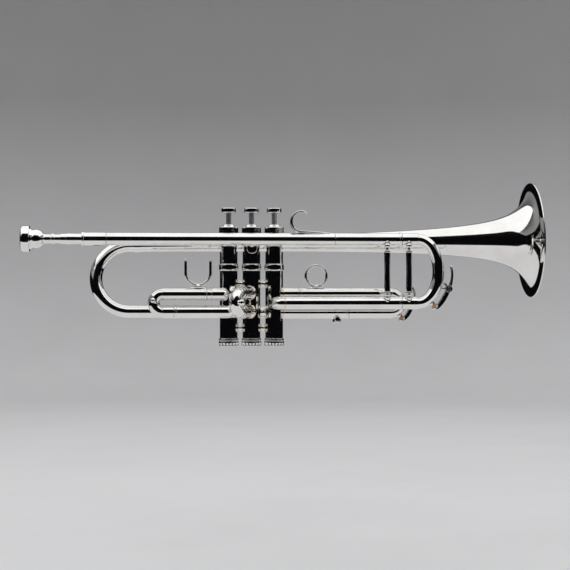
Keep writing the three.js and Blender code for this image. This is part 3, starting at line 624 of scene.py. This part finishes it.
def make_button(number, axis):
    name, body = f"finger_button_{number}", f"valve_{number}"
    bottom, top = height_range(name)
    under = top - BUTTON_HEIGHT
    side = flow([(under + 0.3, 6.7), (under + 0.7, 7.4), (under + 2.6, 7.5), (top - 0.9, 7.42),
                 (top - 0.3, 6.9)], 3)
    outline = [(under, 0), (under, 5.6), *side, (top - 0.1, 6.1), (top - 0.6, 5.7), (top - 0.6, 0)]
    piece(f"button_{number}", body, [solid(outline, axis, Z, 64)], replaces=[name])
    r, seat_r, seat, seat_top, stem_top = 2.6, 6.6, 45, 47, under + 0.3
    outline = [(bottom, 0), (bottom, r), (seat, r), (seat, seat_r), (seat_top, seat_r), (seat_top, r),
               (stem_top, r), (stem_top, 0)]
    piece(f"stem_{number}", body, [solid(outline, axis, Z, 48)], SATIN)
    inlay = [(top - 1.2, 0), (top - 1.2, 5.6),
             *flow([(top - 0.5, 5.55), (top - 0.25, 4.6), (top - 0.05, 2.6), (top, 0)], 4)]
    piece(f"pearl_{number}", body, [lathe(inlay, axis, Z, 48, closed=False)], PEARL)
    felt = [(CAP_FLOOR - 1, 3.0), (CAP_FLOOR - 1, 5.4), (CAP_FLOOR - 0.1, 5.4), (CAP_FLOOR - 0.1, 3.0)]
    piece(f"cap_felt_{number}", "root", [ring(felt, axis, Z, 40, 0.2)], FELT)


def make_spring(number, axis):
    name = f"valve_spring_{number}"
    node = Node(name)
    turns, facets, wire, coil = 8, 28, 0.45, 5.4
    low, high = node.low.z + wire, node.high.z - wire
    steps = turns * facets
    path = []
    for k in range(steps + 1):
        angle = 2 * pi * turns * k / steps
        path.append(axis + V(coil * cos(angle), coil * sin(angle), low + (high - low) * k / steps))
    spring = piece(f"spring_{number}", "root", [sweep(path, round_section(wire, 10), Z)], STEEL,
                   replaces=[name], even=False)
    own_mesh(spring)


def make_valve(number):
    axis = V(Node(f"valve_casing_{number}").mid.x, 0, 0)
    make_casing(number, axis)
    make_caps(number, axis)
    make_button(number, axis)
    make_spring(number, axis)
    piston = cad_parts[f"piston_{number}"]
    piston.data.materials.clear()
    piston.data.materials.append(NICKEL)


def make_links():
    for number in (1, 2):
        left, right = Node(f"valve_casing_{number}").mid.x, Node(f"valve_casing_{number + 1}").mid.x
        middle, half = (left + right) / 2, (right - left) / 2 - 8.6
        for kind in ("upper_passage", "lower_passage", "bottom_spacer"):
            name = f"{kind}_{number}_{number + 1}"
            z, r = Node(name).mid.z, Node(name).size.z / 2
            waist = [(-1.6, r), (-0.5, r - 0.55), (0.5, r - 0.55), (1.6, r)]
            outline = [(-half, r - 1.2), (-half, r + 0.4), (-half + 1, r + 0.2), *waist,
                       (half - 1, r + 0.2), (half, r + 0.4), (half, r - 1.2)]
            piece(f"{kind}_tube_{number}_{number + 1}", "root",
                  [ring(outline, V(middle, 0, z), X, corner=0.35)], replaces=[name])
            seam = [(-0.5, r + 0.15), (0, r + 0.75), (0.5, r + 0.15), (0, r - 0.3)]
            for side, word in ((-1, "in"), (1, "out")):
                where = V(middle + side * (half - 0.75), 0, z)
                piece(f"{kind}_seam_{number}_{word}", "root", [ring(seam, where, X, corner=0.2)], WARM)


# ---- slide tubes


def ringed_tube(mouth, length, axis, where):
    """A tube with a bead at its mouth that reaches back along axis, its centre line through where."""
    bore = TUBE_R - WALL
    profile = [(0, bore), (0, BEAD_R - 0.2), (0.3, BEAD_R), (BEAD_LENGTH - 0.3, BEAD_R),
               (BEAD_LENGTH, TUBE_R), (length, TUBE_R), (length, bore)]
    return ring(profile, where + V(mouth, 0, 0), axis, corner=0.45)


def stepped_tube(start, step, length, axis, where, first=INNER_R, then=TUBE_R):
    """A tube from X start on the centre line through where, that changes its outer radius after step."""
    profile = [(0, BORE_R), (0, first), (step, first), (step, then), (length, then), (length, BORE_R)]
    return ring(profile, where + V(start, 0, 0), axis)


def capped_tube(mouth, end, where, beaded):
    """A tube that opens towards -X and ends in a dome."""
    bore = TUBE_R - WALL

    def dome(radius, count):
        angles = [pi / 2 * (1 - k / count) for k in range(count + 1)]
        straight = [(end - TUBE_R - k, radius) for k in range(1, 14) if end - TUBE_R - k > mouth + 10]
        return [(end - TUBE_R + radius * sin(a), radius * cos(a)) for a in angles] + straight

    lip = [(mouth + BEAD_LENGTH, TUBE_R), (mouth + BEAD_LENGTH - 0.3, BEAD_R), (mouth + 0.3, BEAD_R),
           (mouth, BEAD_R - 0.2)] if beaded else [(mouth, TUBE_R)]
    opening = soft([(mouth + 8, TUBE_R), *lip, (mouth, bore), (mouth + 9, bore)], 0.35, closed=False)
    return lathe([*dome(TUBE_R, 12), *opening, *dome(bore, 10)[::-1]], where, X, closed=False)


def seam_ring(where, axis, r=TUBE_R, width=0.9, rise=0.35):
    low, edge = r - 0.3, r + 0.05
    return ring([(-width, low), (-width, edge), (0, r + rise), (width, edge), (width, low)], where, axis)


def collar(rise, crest, length, where, axis):
    """A low ring where a tube meets a casing, falling off from crest to its length."""
    low, top = TUBE_R - 0.4, TUBE_R + rise
    profile = [(0, low), (0, top), (crest, top - 0.2), (length, TUBE_R), (length, low)]
    return ring(profile, where, axis, corner=0.4)


def make_main_sleeves():
    upper, lower = Node("main_slide_upper_sleeve"), Node("main_slide_lower_sleeve")
    lead = Node("leadpipe")
    y, z = lead.mid.y, lower.mid.z
    line_up = V(0, y, lead.mid.z)
    mouth = upper.high.x
    shells = [ringed_tube(mouth, mouth - upper.low.x, -X, line_up),
              seam_ring(line_up + V(upper.low.x + 1.5, 0, 0), X, rise=0.25)]
    piece("main_upper_outer_tube", "root", shells, replaces=["main_slide_upper_sleeve"])
    bend = 7.0
    corner = lower.low.x + TUBE_R - 0.3
    straight = ringed_tube(mouth, mouth - corner - bend, -X, V(0, y, z))
    turn = [V(corner + bend - bend * sin(a), y + bend - bend * cos(a), z)
            for a in (pi / 2 * k / 20 for k in range(21))]
    path = [V(corner + bend + 1, y, z), *turn, V(corner, y + bend + 4.5, z)]
    elbow = end_at_valve([pipe(path, TUBE_R - 0.02, TUBE_R - WALL, Z)], 3, -Y)
    piece("main_lower_outer_tube", "root", [straight, *elbow], replaces=["main_slide_lower_sleeve"])
    piece("main_lower_elbow_seam", "root", [seam_ring(V(corner + bend + 1.5, y, z), X)], WARM)


def slide_brace(name, node_name, body):
    """The post in front of the slide's two tubes: collars, necks and balls, on diamond flanges."""
    node, lead, lower = Node(node_name), Node("leadpipe"), Node("main_slide_lower_sleeve")
    x, y = node.mid.x, node.low.y + 3.6
    top, bottom = lead.mid.z - 6.4, lower.mid.z + 6.2
    neck_r, collar_r, waist_r, end_r = 1.6, 3.6, 2.9, 3.05
    middle, half = (top + bottom) / 2, (top - bottom) / 2

    def end(gap):
        steps = [(0, 0.0), (0.6, neck_r), (gap, neck_r), (gap + 0.7, 2.7), (gap + 1.4, collar_r),
                 (gap + 2.4, collar_r), (gap + 2.8, 3.3)]
        return [(half - depth, r) for depth, r in steps]

    shaft = flow([(-half + 14, end_r), (0, waist_r), (half - 14, end_r)], 6)
    profile = [(-z, r) for z, r in end(2.8)] + shaft + end(4.2)[::-1]
    shells = [solid(profile, V(x, y, middle), Z, 48)]
    for z, tube_z in ((top, lead.mid.z), (bottom, lower.mid.z)):
        around = atan2(y - lead.mid.y, z - tube_z)
        shells += [ball(V(x, y, z), end_r, 0.95),
                   saddle(V(x, lead.mid.y, tube_z), TUBE_R, around, 3.9, 5.2, 1.2, 1.35)]
    for tube_z in (lead.mid.z, lower.mid.z):
        shells = clear_of_bore(shells, lead.mid.y, tube_z)
    piece(name, body, shells, replaces=[node_name])


def make_main_slide():
    lead, lower = Node("leadpipe"), Node("main_slide_lower_sleeve")
    leg, crook = Node("main_slide_upper_leg"), Node("main_slide_crook")
    y, r = lead.mid.y, 5.95
    for side, z in (("upper", lead.mid.z), ("lower", lower.mid.z)):
        where = V(0, y, z)
        shells = [stepped_tube(leg.low.x, lower.high.x + PLAY - leg.low.x, leg.size.x, X, where)]
        piece(f"main_{side}_inner_leg", "main_slide", shells, replaces=[f"main_slide_{side}_leg"])
        seam = [seam_ring(where + V(crook.low.x - 0.4, 0, 0), X, 6.45, 0.6, 0.2)]
        piece(f"main_{side}_crook_seam", "main_slide", seam, WARM)
    top, low = V(crook.low.x, y, lead.mid.z), V(crook.low.x, y, lower.mid.z)
    bend = half_turn(top, low, X * (crook.high.x - CROOK_MARGIN - crook.low.x), 64)
    path = [top - X * 2, *bend, low - X * 2]
    shells = [pipe(path, r, 5.2, Y, 64), nipple(MAIN_KEY, 5.3, r + 2.2, 2.6)]
    piece("main_crook", "main_slide", shells, replaces=["main_slide_crook"])


# ---- first slide


FIRST_MOUTH = -46.9  # X of the upper moving tube's mouth
FIRST_FERRULE = 5  # the fixed ferrule's length in front of it


def mixed_slide(upper_where, lower_where, upper_mouth, lower_mouth, bend_x, inner_end):
    """A moving tube: its upper leg runs over a fixed tube and its lower leg inside a fixed sleeve."""
    axis = X * copysign(1, bend_x)
    upper = ringed_tube(upper_mouth, abs(bend_x - upper_mouth) + 0.3, axis, upper_where)
    step = abs(lower_mouth - inner_end) + PLAY
    lower = stepped_tube(inner_end, step, abs(bend_x - inner_end) + 0.3, axis, lower_where)
    start, end = upper_where + V(bend_x, 0, 0), lower_where + V(bend_x, 0, 0)
    path = [start - axis, *half_turn(start, end, axis * (start - end).length / 2), end - axis]
    seams = [seam_ring(where, X, 6.3, 0.7, 0.45) for where in (start, end)]
    return [upper, lower, pipe(path, CROOK_R, CROOK_R - WALL), *seams]


def make_first_slide():
    upper, lower, moving = (Node(f"first_slide_{kind}") for kind in ("upper_sleeve", "lower_sleeve", "tube"))
    y = lower.mid.y
    up, low = V(0, y, upper.mid.z), V(0, y, lower.mid.z)
    bend_x = moving.low.x + CROOK_R + 0.15 + (up.z - low.z) / 2
    root = FIRST_MOUTH + PLAY + FIRST_FERRULE
    shells = [capped_tube(root - 1, upper.high.x, up, False),
              stepped_tube(root, FIRST_FERRULE, root - upper.low.x, -X, up, TUBE_R, INNER_R)]
    piece("first_upper_inner_tube", "root", end_at_valve(shells, 1, -X),
          replaces=["first_slide_upper_sleeve"])
    piece("first_upper_seam", "root", [seam_ring(up + V(root - 0.6, 0, 0), X)], WARM)
    sleeve = capped_tube(lower.low.x, lower.high.x, low, True)
    piece("first_lower_outer_tube", "root", end_at_valve([sleeve], 1),
          replaces=["first_slide_lower_sleeve"])

    shells = mixed_slide(up, low, FIRST_MOUTH, lower.low.x, bend_x, moving.high.x)
    middle = (up.z + low.z) / 2
    knob, stub = V(-101.8, y - CROOK_R - 2.9, middle + 3), V(-99, y - 4.2, middle + 0.2)
    neck = [(0, 0), (0, 1.9), (1.2, 1.3), (4.2, 1.2), (4.2, 0)]
    shells += [ball(knob, 2.7, 0.9, knob - stub), lathe(neck, stub, knob - stub, 24, closed=False)]
    piece("first_slide_moving_tube", "first_slide", shells, replaces=["first_slide_tube"])


def mount(centre, half_length, rise, lift, foot):
    """A diamond saddle on a slide tube, and the foot of what stands on it."""
    return [saddle(centre, TUBE_R, 0, half_length, 4.2, rise, 1.6),
            lathe(foot, centre + Z * (TUBE_R + lift), Z, 28, closed=False)]


def make_thumb_hook():
    node, sleeve = Node("thumb_hook"), Node("first_slide_upper_sleeve")
    y, z = Node("first_slide_lower_sleeve").mid.y, sleeve.mid.z
    wire = 1.4
    left, right, top = node.low.x + wire, node.high.x - wire, node.high.z
    half, middle = (right - left) / 2, (right + left) / 2
    bottom = z + TUBE_R + 3
    turn = [V(middle - half * cos(a), y, bottom + half - half * sin(a))
            for a in (pi * k / 32 for k in range(33))]
    path = [V(left, y, top), *line(V(left, y, top - 1), turn[0], 3)[:-1], *turn,
            *line(turn[-1], V(right, y, top - 1), 3)[1:], V(right, y, top)]
    foot = [(0, 0), (0, 3.4), (1.4, 2.4), (3, 2.2), (4.2, 0)]
    shells = [sweep(path, round_section(wire, 24), Y),
              *(ball(tip, wire * 1.05) for tip in (path[0], path[-1])),
              *mount(V(middle, y, z), 8.6, 1.4, 0.6, foot)]
    piece("thumb_saddle_hook", "first_slide", shells, replaces=["thumb_hook"])


# ---- second slide


SECOND_YAW = radians(26.4)
SECOND_OUT = V(-sin(SECOND_YAW), -cos(SECOND_YAW), 0)
SECOND_X = 2.0
# Distances out from the middle casing's axis: the fixed tubes' start, the collars, the moving tube's
# start, the fixed tubes' mouths and the crook.
SECOND_START, SECOND_COLLAR, SECOND_LEG, SECOND_MOUTH, SECOND_CROOK = 7.5, 9.3, 14, 29.5, 34.4
KNOB_TURN = radians(58)


def second_place(out, z):
    return V(SECOND_X, 0, z) + SECOND_OUT * out


def make_second_slide():
    heights = [Node(f"second_slide_{side}_sleeve").mid.z for side in ("upper", "lower")]
    for side, z in zip(("upper", "lower"), heights):
        shells = [ringed_tube(0, SECOND_MOUTH - SECOND_START, -SECOND_OUT, second_place(SECOND_MOUTH, z))]
        piece(f"second_{side}_outer_tube", "root", end_at_valve(shells, 2, SECOND_OUT),
              replaces=[f"second_slide_{side}_sleeve"])
        shells = [collar(0.9, 1.6, 2.4, second_place(SECOND_COLLAR, z), SECOND_OUT)]
        piece(f"second_{side}_collar", "root", shells, WARM)
    upper, lower = heights
    half, middle = (upper - lower) / 2, (upper + lower) / 2
    bend = [second_place(SECOND_CROOK + half * sin(a), middle + half * cos(a))
            for a in (pi * k / 48 for k in range(49))]
    path = [bend[0] - SECOND_OUT, *bend, bend[-1] - SECOND_OUT]
    shells = [pipe(path, CROOK_R + 0.1, CROOK_R - WALL, SECOND_OUT.cross(Z), 64)]
    step, length = SECOND_MOUTH + PLAY - SECOND_LEG, SECOND_CROOK + 0.3 - SECOND_LEG
    for z in heights:
        shells += [stepped_tube(0, step, length, SECOND_OUT, second_place(SECOND_LEG, z)),
                   seam_ring(second_place(SECOND_CROOK, z), SECOND_OUT, 6.35, 0.7, 0.4)]
    piece("second_slide_moving_tube", "second_slide", shells, replaces=["second_slide_tube"])

    facing_angle = KNOB_TURN - SECOND_YAW
    facing = V(sin(facing_angle), -cos(facing_angle), 0)
    seat = second_place(SECOND_CROOK + half, middle) + facing * (CROOK_R - 0.3)
    head = flow([(2.7, 2.0), (3.3, 2.9), (4.4, 3.3), (5.7, 2.9), (6.5, 1.8), (6.9, 0)], 4)
    profile = [(0, 0), (0, 2.6), (0.9, 1.6), (2.1, 1.35), *head]
    piece("second_pull_knob", "second_slide", [lathe(profile, seat, facing, 40, closed=False)],
          replaces=["second_slide_knob"])


# ---- third slide


THIRD_MOUTH = 49.6  # X of the upper moving tube's mouth
STOP_SCREW_Z = -35.6


def make_third_slide():
    upper, lower, moving = (Node(f"third_slide_{kind}") for kind in ("upper_sleeve", "lower_sleeve", "tube"))
    up, low = V(0, 0, upper.mid.z), V(0, 0, lower.mid.z)
    bend_x = moving.high.x - CROOK_R - 0.15 - (up.z - low.z) / 2
    root = upper.low.x - 1
    step, length = THIRD_MOUTH - PLAY - root, upper.high.x - root
    inner = stepped_tube(root, step, length, X, up, TUBE_R, INNER_R)
    piece("third_upper_inner_tube", "root", end_at_valve([inner], 3, X),
          replaces=["third_slide_upper_sleeve"])
    outer = end_at_valve([ringed_tube(lower.high.x, lower.size.x + 1, -X, low)], 3, X)
    piece("third_lower_outer_tube", "root", outer, replaces=["third_slide_lower_sleeve"])
    for side, where in (("upper", up), ("lower", low)):
        shells = [collar(0.8, 1.3, 2.2, where + V(root + 1.9, 0, 0), X)]
        piece(f"third_{side}_collar", "root", shells, WARM)
    shells = mixed_slide(up, low, THIRD_MOUTH, lower.high.x, bend_x, moving.low.x)
    shells.append(nipple(THIRD_KEY, CROOK_R - 0.5, CROOK_R + 1.9, 2.3))
    piece("third_slide_moving_tube", "third_slide", shells, replaces=["third_slide_tube"])

    node = Node("third_slide_stop")
    x = node.mid.x
    block = [V(x, 0, z) for z in (node.low.z + 0.7, node.low.z + 1.5, low.z - 6.9, low.z - 6.2)]
    head = [(0, 0), (0, 2.5), (1.8, 2.5), (2.4, 1.2), (5, 1.2), (5, 0)]
    shells = [sweep(block, band_section(8.0, 7.0, 0.8), X),
              solid(head, V(x, node.low.y, STOP_SCREW_Z), Y, 60, ripple=knurl(20, 0.25, 0.2, 1.7, 0.3)),
              saddle(V(x, 0, low.z), TUBE_R, pi, 6.2, 5.2, 0.9)]
    piece("third_stop_block", "root", shells, replaces=["third_slide_stop"])


def make_finger_ring():
    node, sleeve = Node("finger_ring"), Node("third_slide_upper_sleeve")
    wire, flattening, r = 1.25, 1.25, 10.9
    centre = V(node.mid.x, 0, node.high.z - 1.15 - r)
    rings = []
    for k in range(72):
        angle = 2 * pi * k / 72
        out = V(cos(angle), 0, sin(angle))
        rings.append([centre + out * (r + s) + Y * t * flattening for s, t in round_section(wire, 20)])
    foot = [(0, 0), (0, 3.6), (1.2, 2.6), (3.2, 2.1), (3.4, 0)]
    shells = [shell(rings, closed=True), *mount(V(centre.x, 0, sleeve.mid.z), 8.4, 1.3, 0.3, foot)]
    piece("third_finger_ring", "third_slide", shells, replaces=["finger_ring"])


# ---- water keys


class Key(namedtuple("Key", "prefix centre reach half angle pivot width path")):
    """A water key: its crook's half ellipse, the angle in degrees where it opens, its pivot, its lever's
    width and the (x, z, thickness) points along the lever."""

    def place(self):
        """The opening on the crook's middle line, and the way out of it."""
        c, s = cos(radians(self.angle)), sin(radians(self.angle))
        at = V(self.centre.x + self.reach * c, self.centre.y, self.centre.z - self.half * s)
        return at, V(c / self.reach, 0, -s / self.half).normalized()


def nipple(key, start, end, radius):
    at, out = key.place()
    profile = [(start, 0), (start, radius + 0.9), (start + (end - start) * 0.4, radius + 0.3), (end, radius),
               (end, 0)]
    return solid(profile, at, out, 32)


def main_key():
    lead, crook = Node("leadpipe"), Node("main_slide_crook")
    top, low = lead.mid.z, Node("main_slide_lower_sleeve").mid.z
    centre = V(crook.low.x, lead.mid.y, (top + low) / 2)
    path = [(190, -24.4, 2.4), (191.6, -23.8, 3.4), (194.8, -20.4, 4.4), (198.4, -15.4, 4.8),
            (201.8, -9.4, 4.6), (204, -4.4, 4.0), (206, 0.2, 2.6), (207.4, 5.4, 1.9), (207.9, 10.4, 1.6),
            (207.6, 15, 1.5), (206.4, 19.2, 1.3)]
    reach = crook.high.x - CROOK_MARGIN - crook.low.x
    return Key("main", centre, reach, (top - low) / 2, 60, (204, -4.1), 5.0, path)


def third_key():
    low, top = (Node(f"third_slide_{kind}_sleeve").mid.z for kind in ("lower", "upper"))
    half = (top - low) / 2
    centre = V(Node("third_slide_tube").high.x - CROOK_MARGIN - half, 0, (low + top) / 2)
    path = [(156.5, -37.6, 2.0), (158.6, -36.8, 3.0), (162, -34, 4.0), (165.2, -29.4, 4.4),
            (167.6, -24.2, 4.2), (169.2, -19.2, 3.6), (171.2, -14.6, 2.4), (171.7, -10.4, 1.6),
            (170.8, -6, 1.5), (168.8, -1.2, 1.3)]
    return Key("third", centre, half, half, 55, (167.8, -19.6), 4.4, path)


MAIN_KEY, THIRD_KEY = main_key(), third_key()


def make_key_lever(key, clearance):
    """The rocking lever on its barrel, and the cork that it presses on the nipple."""
    (x, z), y, half = key.pivot, key.centre.y, key.width / 2
    at, out = key.place()
    points = flow([V(px, y, pz) for px, pz, thick in key.path], 5)
    thicks = [t.x for t in flow([V(thick, 0, 0) for px, pz, thick in key.path], 5)]

    def section(t):
        thickness = thicks[round(t * (len(points) - 1))]
        spoon = 1 + 0.35 * max(0.0, (t - 0.6) / 0.4) ** 2
        return band_section(key.width * spoon, thickness, 0.45)

    start = CROOK_R + clearance
    pad = [(start + 2.5, 0), (start + 2.5, 3.3), (start + 3.9, 3.5), (start + 4.6, 2.4), (start + 4.6, 0)]
    shells = [sweep(points, section, Y),
              ring([(-half, 1.3), (-half, 2.5), (half, 2.5), (half, 1.3)], V(x, y, z), Y, 40),
              solid(pad, at, out, 36, 0.4),
              ball(points[-1], key.path[-1][2] * 0.75)]
    body = f"{key.prefix}_water_key"
    piece(f"{key.prefix}_key_lever", body, shells, replaces=[body])
    cork = [(start + 0.3, 0), (start + 0.3, 3.0), (start + 2.3, 3.1), (start + 2.5, 0)]
    piece(f"{key.prefix}_key_cork", body, [solid(cork, at, out, 36, 0.25)], CORK, replaces=[f"{body}_cork"])


def make_key_saddle(key, slide, leg):
    """Two ears on legs that are soldered to the crook, and the pivot screw through them."""
    (x, z), y, half = key.pivot, key.centre.y, key.width / 2
    inward = (key.centre - V(x, y, z)).normalized()
    shells = []
    for side in (-1, 1):
        ear = V(x, y + side * (half + 0.9), z)
        shells.append(ring([(-0.55, 1.0), (-0.55, 3.5), (0.55, 3.5), (0.55, 1.0)], ear, Y, 48, 0.25))
        for turn in (0.42, -0.42):
            c, s = cos(turn), sin(turn)
            direction = V(inward.x * c - inward.z * s, 0, inward.x * s + inward.z * c)
            begin = ear + direction * 2.6
            shells.append(sweep(line(begin, begin + direction * leg, 4), band_section(1.1, 1.5, 0.3), Y))
    piece(f"{key.prefix}_key_saddle", slide, shells, replaces=[f"{key.prefix}_water_key_saddle"])
    end = half + 2.2
    screw = [(-end, 0), (-end, 1.7), (-end + 0.7, 1.9), (-end + 0.7, 0.9), (end, 0.9), (end, 0)]
    piece(f"{key.prefix}_key_screw", slide, [solid(screw, V(x, y, z), Y, 28, 0.2)], STEEL)


# ---- everything in its place


make_mouthpiece()
make_leadpipe()
make_pinky_hook()
make_leadpipe_post()
make_bell()
make_bow()
make_bell_brace("rear_bell_brace", "bell_brace_rear", 12.5)
make_bell_brace("front_bell_brace", "bell_brace_front", 14)
for valve_number in (1, 2, 3):
    make_valve(valve_number)
make_links()
make_main_sleeves()
slide_brace("fixed_slide_brace", "sleeve_brace", "root")
slide_brace("moving_slide_brace", "main_slide_brace", "main_slide")
make_main_slide()
make_first_slide()
make_thumb_hook()
make_second_slide()
make_third_slide()
make_finger_ring()
make_key_lever(MAIN_KEY, 2.3)
make_key_saddle(MAIN_KEY, "main_slide", 5.2)
make_key_lever(THIRD_KEY, 2.0)
make_key_saddle(THIRD_KEY, "third_slide", 3.6)

# ---- floor, light and camera, in metres


FLOOR_Z = -0.30
FLAG_RADIUS = 1.35
LIGHT_X, LIGHT_Y, LIGHT_Z, LIGHT_SIZE, LIGHT_POWER = 0.03, -0.2, 1.6, 4.8, 74
LOOK_AT_X, DISTANCE, CAMERA_TURN = 0.035, 1.457, radians(4.45)
SENSOR, LENS = 36, 88.3


def stage_piece(name, outline, colours):
    """A sheet all round Z; outline(angle) gives its (radius, height) pairs. Returns it and its shader."""
    steps = 96
    angles = [2 * pi * k / steps for k in range(steps)]
    columns = [outline(a) for a in angles]
    count = len(columns[0])
    verts = [(column[i][0] * cos(a), column[i][0] * sin(a), column[i][1])
             for i in range(count) for a, column in zip(angles, columns)]
    faces = []
    for i in range(count - 1):
        for k in range(steps):
            n = (k + 1) % steps
            faces.append((i * steps + k, i * steps + n, (i + 1) * steps + n, (i + 1) * steps + k))
    mesh = bpy.data.meshes.new(name)
    mesh.from_pydata(verts, [], faces)
    for polygon in mesh.polygons:
        polygon.use_smooth = True
    material, tree, shader, place = new_material(name)
    shader.inputs["Specular IOR Level"].default_value = 0
    shader.inputs["Roughness"].default_value = 0.9
    mottle = ramp(tree, noise(tree, place, 5, 3), (0.3, colours[0]), (0.7, colours[1]))
    tree.links.new(mottle, shader.inputs["Base Color"])
    mesh.materials.append(material)
    obj = add(name, mesh)
    return obj, tree, shader, place


def make_floor():
    """A pale floor that curves up into a round wall, which is darker."""
    inner, bend, height = 2.2, 0.9, 1.5
    pinhole = 0.00002
    outline = [(radius, FLOOR_Z) for radius in (pinhole, 0.8, 1.6, inner)]
    for k in range(1, 17):
        angle = pi / 2 * k / 16
        outline.append((inner + bend * sin(angle), FLOOR_Z + bend * (1 - cos(angle))))
    outline.append((inner + bend, FLOOR_Z + bend + height))
    colours = (0.84, 0.84, 0.85), (0.87, 0.87, 0.88)
    tree, shader, place = stage_piece("floor", lambda angle: outline, colours)[1:]
    position = tree.nodes.new("ShaderNodeSeparateXYZ")
    tree.links.new(place, position.inputs["Vector"])
    fade = spread(tree, position.outputs["Z"], 1.0, 0.5, FLOOR_Z + 0.05, FLOOR_Z + bend)
    darker = tree.nodes.new("ShaderNodeVectorMath")
    darker.operation = "SCALE"
    tree.links.new(shader.inputs["Base Color"].links[0].from_socket, darker.inputs[0])
    tree.links.new(fade, darker.inputs["Scale"])
    tree.links.new(darker.outputs["Vector"], shader.inputs["Base Color"])


def make_flag():
    """The dark screen that polished metal needs to mirror: a ring, tallest on the camera's side."""
    facing = -pi / 2

    def outline(angle):
        turn = abs((angle - facing + pi) % (2 * pi) - pi)
        side = min(1.0, max(0.0, (turn - radians(20)) / radians(45)))
        tall = 1 - side * side * (3 - 2 * side)
        top = FLAG_RADIUS * tan(radians(14 + 30 * tall))
        near = -FLOOR_Z / tan(radians(13 + 13 * tall))
        low = FLOOR_Z + 0.01
        return [(near, low), (FLAG_RADIUS, low), (FLAG_RADIUS, 0), (FLAG_RADIUS, top)]

    flag = stage_piece("flag", outline, ((0.003, 0.0032, 0.0042), (0.004, 0.0043, 0.0055)))[0]
    flag.visible_camera = flag.visible_diffuse = flag.visible_shadow = False


def make_light():
    """One wide softbox overhead, and a faint fill."""
    data = bpy.data.lights.new("overhead", "AREA")
    data.size, data.energy = LIGHT_SIZE, LIGHT_POWER
    add("overhead", data).location = (LIGHT_X, LIGHT_Y, LIGHT_Z)
    world = bpy.data.worlds.new("studio")
    world.use_nodes = True
    world.node_tree.nodes["Background"].inputs["Color"].default_value = (0.02, 0.02, 0.022, 1)
    bpy.context.scene.world = world
    bpy.context.scene.view_settings.view_transform = "Standard"


def make_camera():
    data = bpy.data.cameras.new("camera")
    data.sensor_width, data.lens = SENSOR, LENS
    camera = add("camera", data)
    back = Vector((-sin(CAMERA_TURN), -cos(CAMERA_TURN), 0))
    camera.location = Vector((LOOK_AT_X, 0, 0)) + back * DISTANCE
    camera.rotation_euler = (pi / 2, 0, -CAMERA_TURN)
    bpy.context.scene.camera = camera


make_floor()
make_flag()
make_light()
make_camera()

bpy.context.view_layer.update()
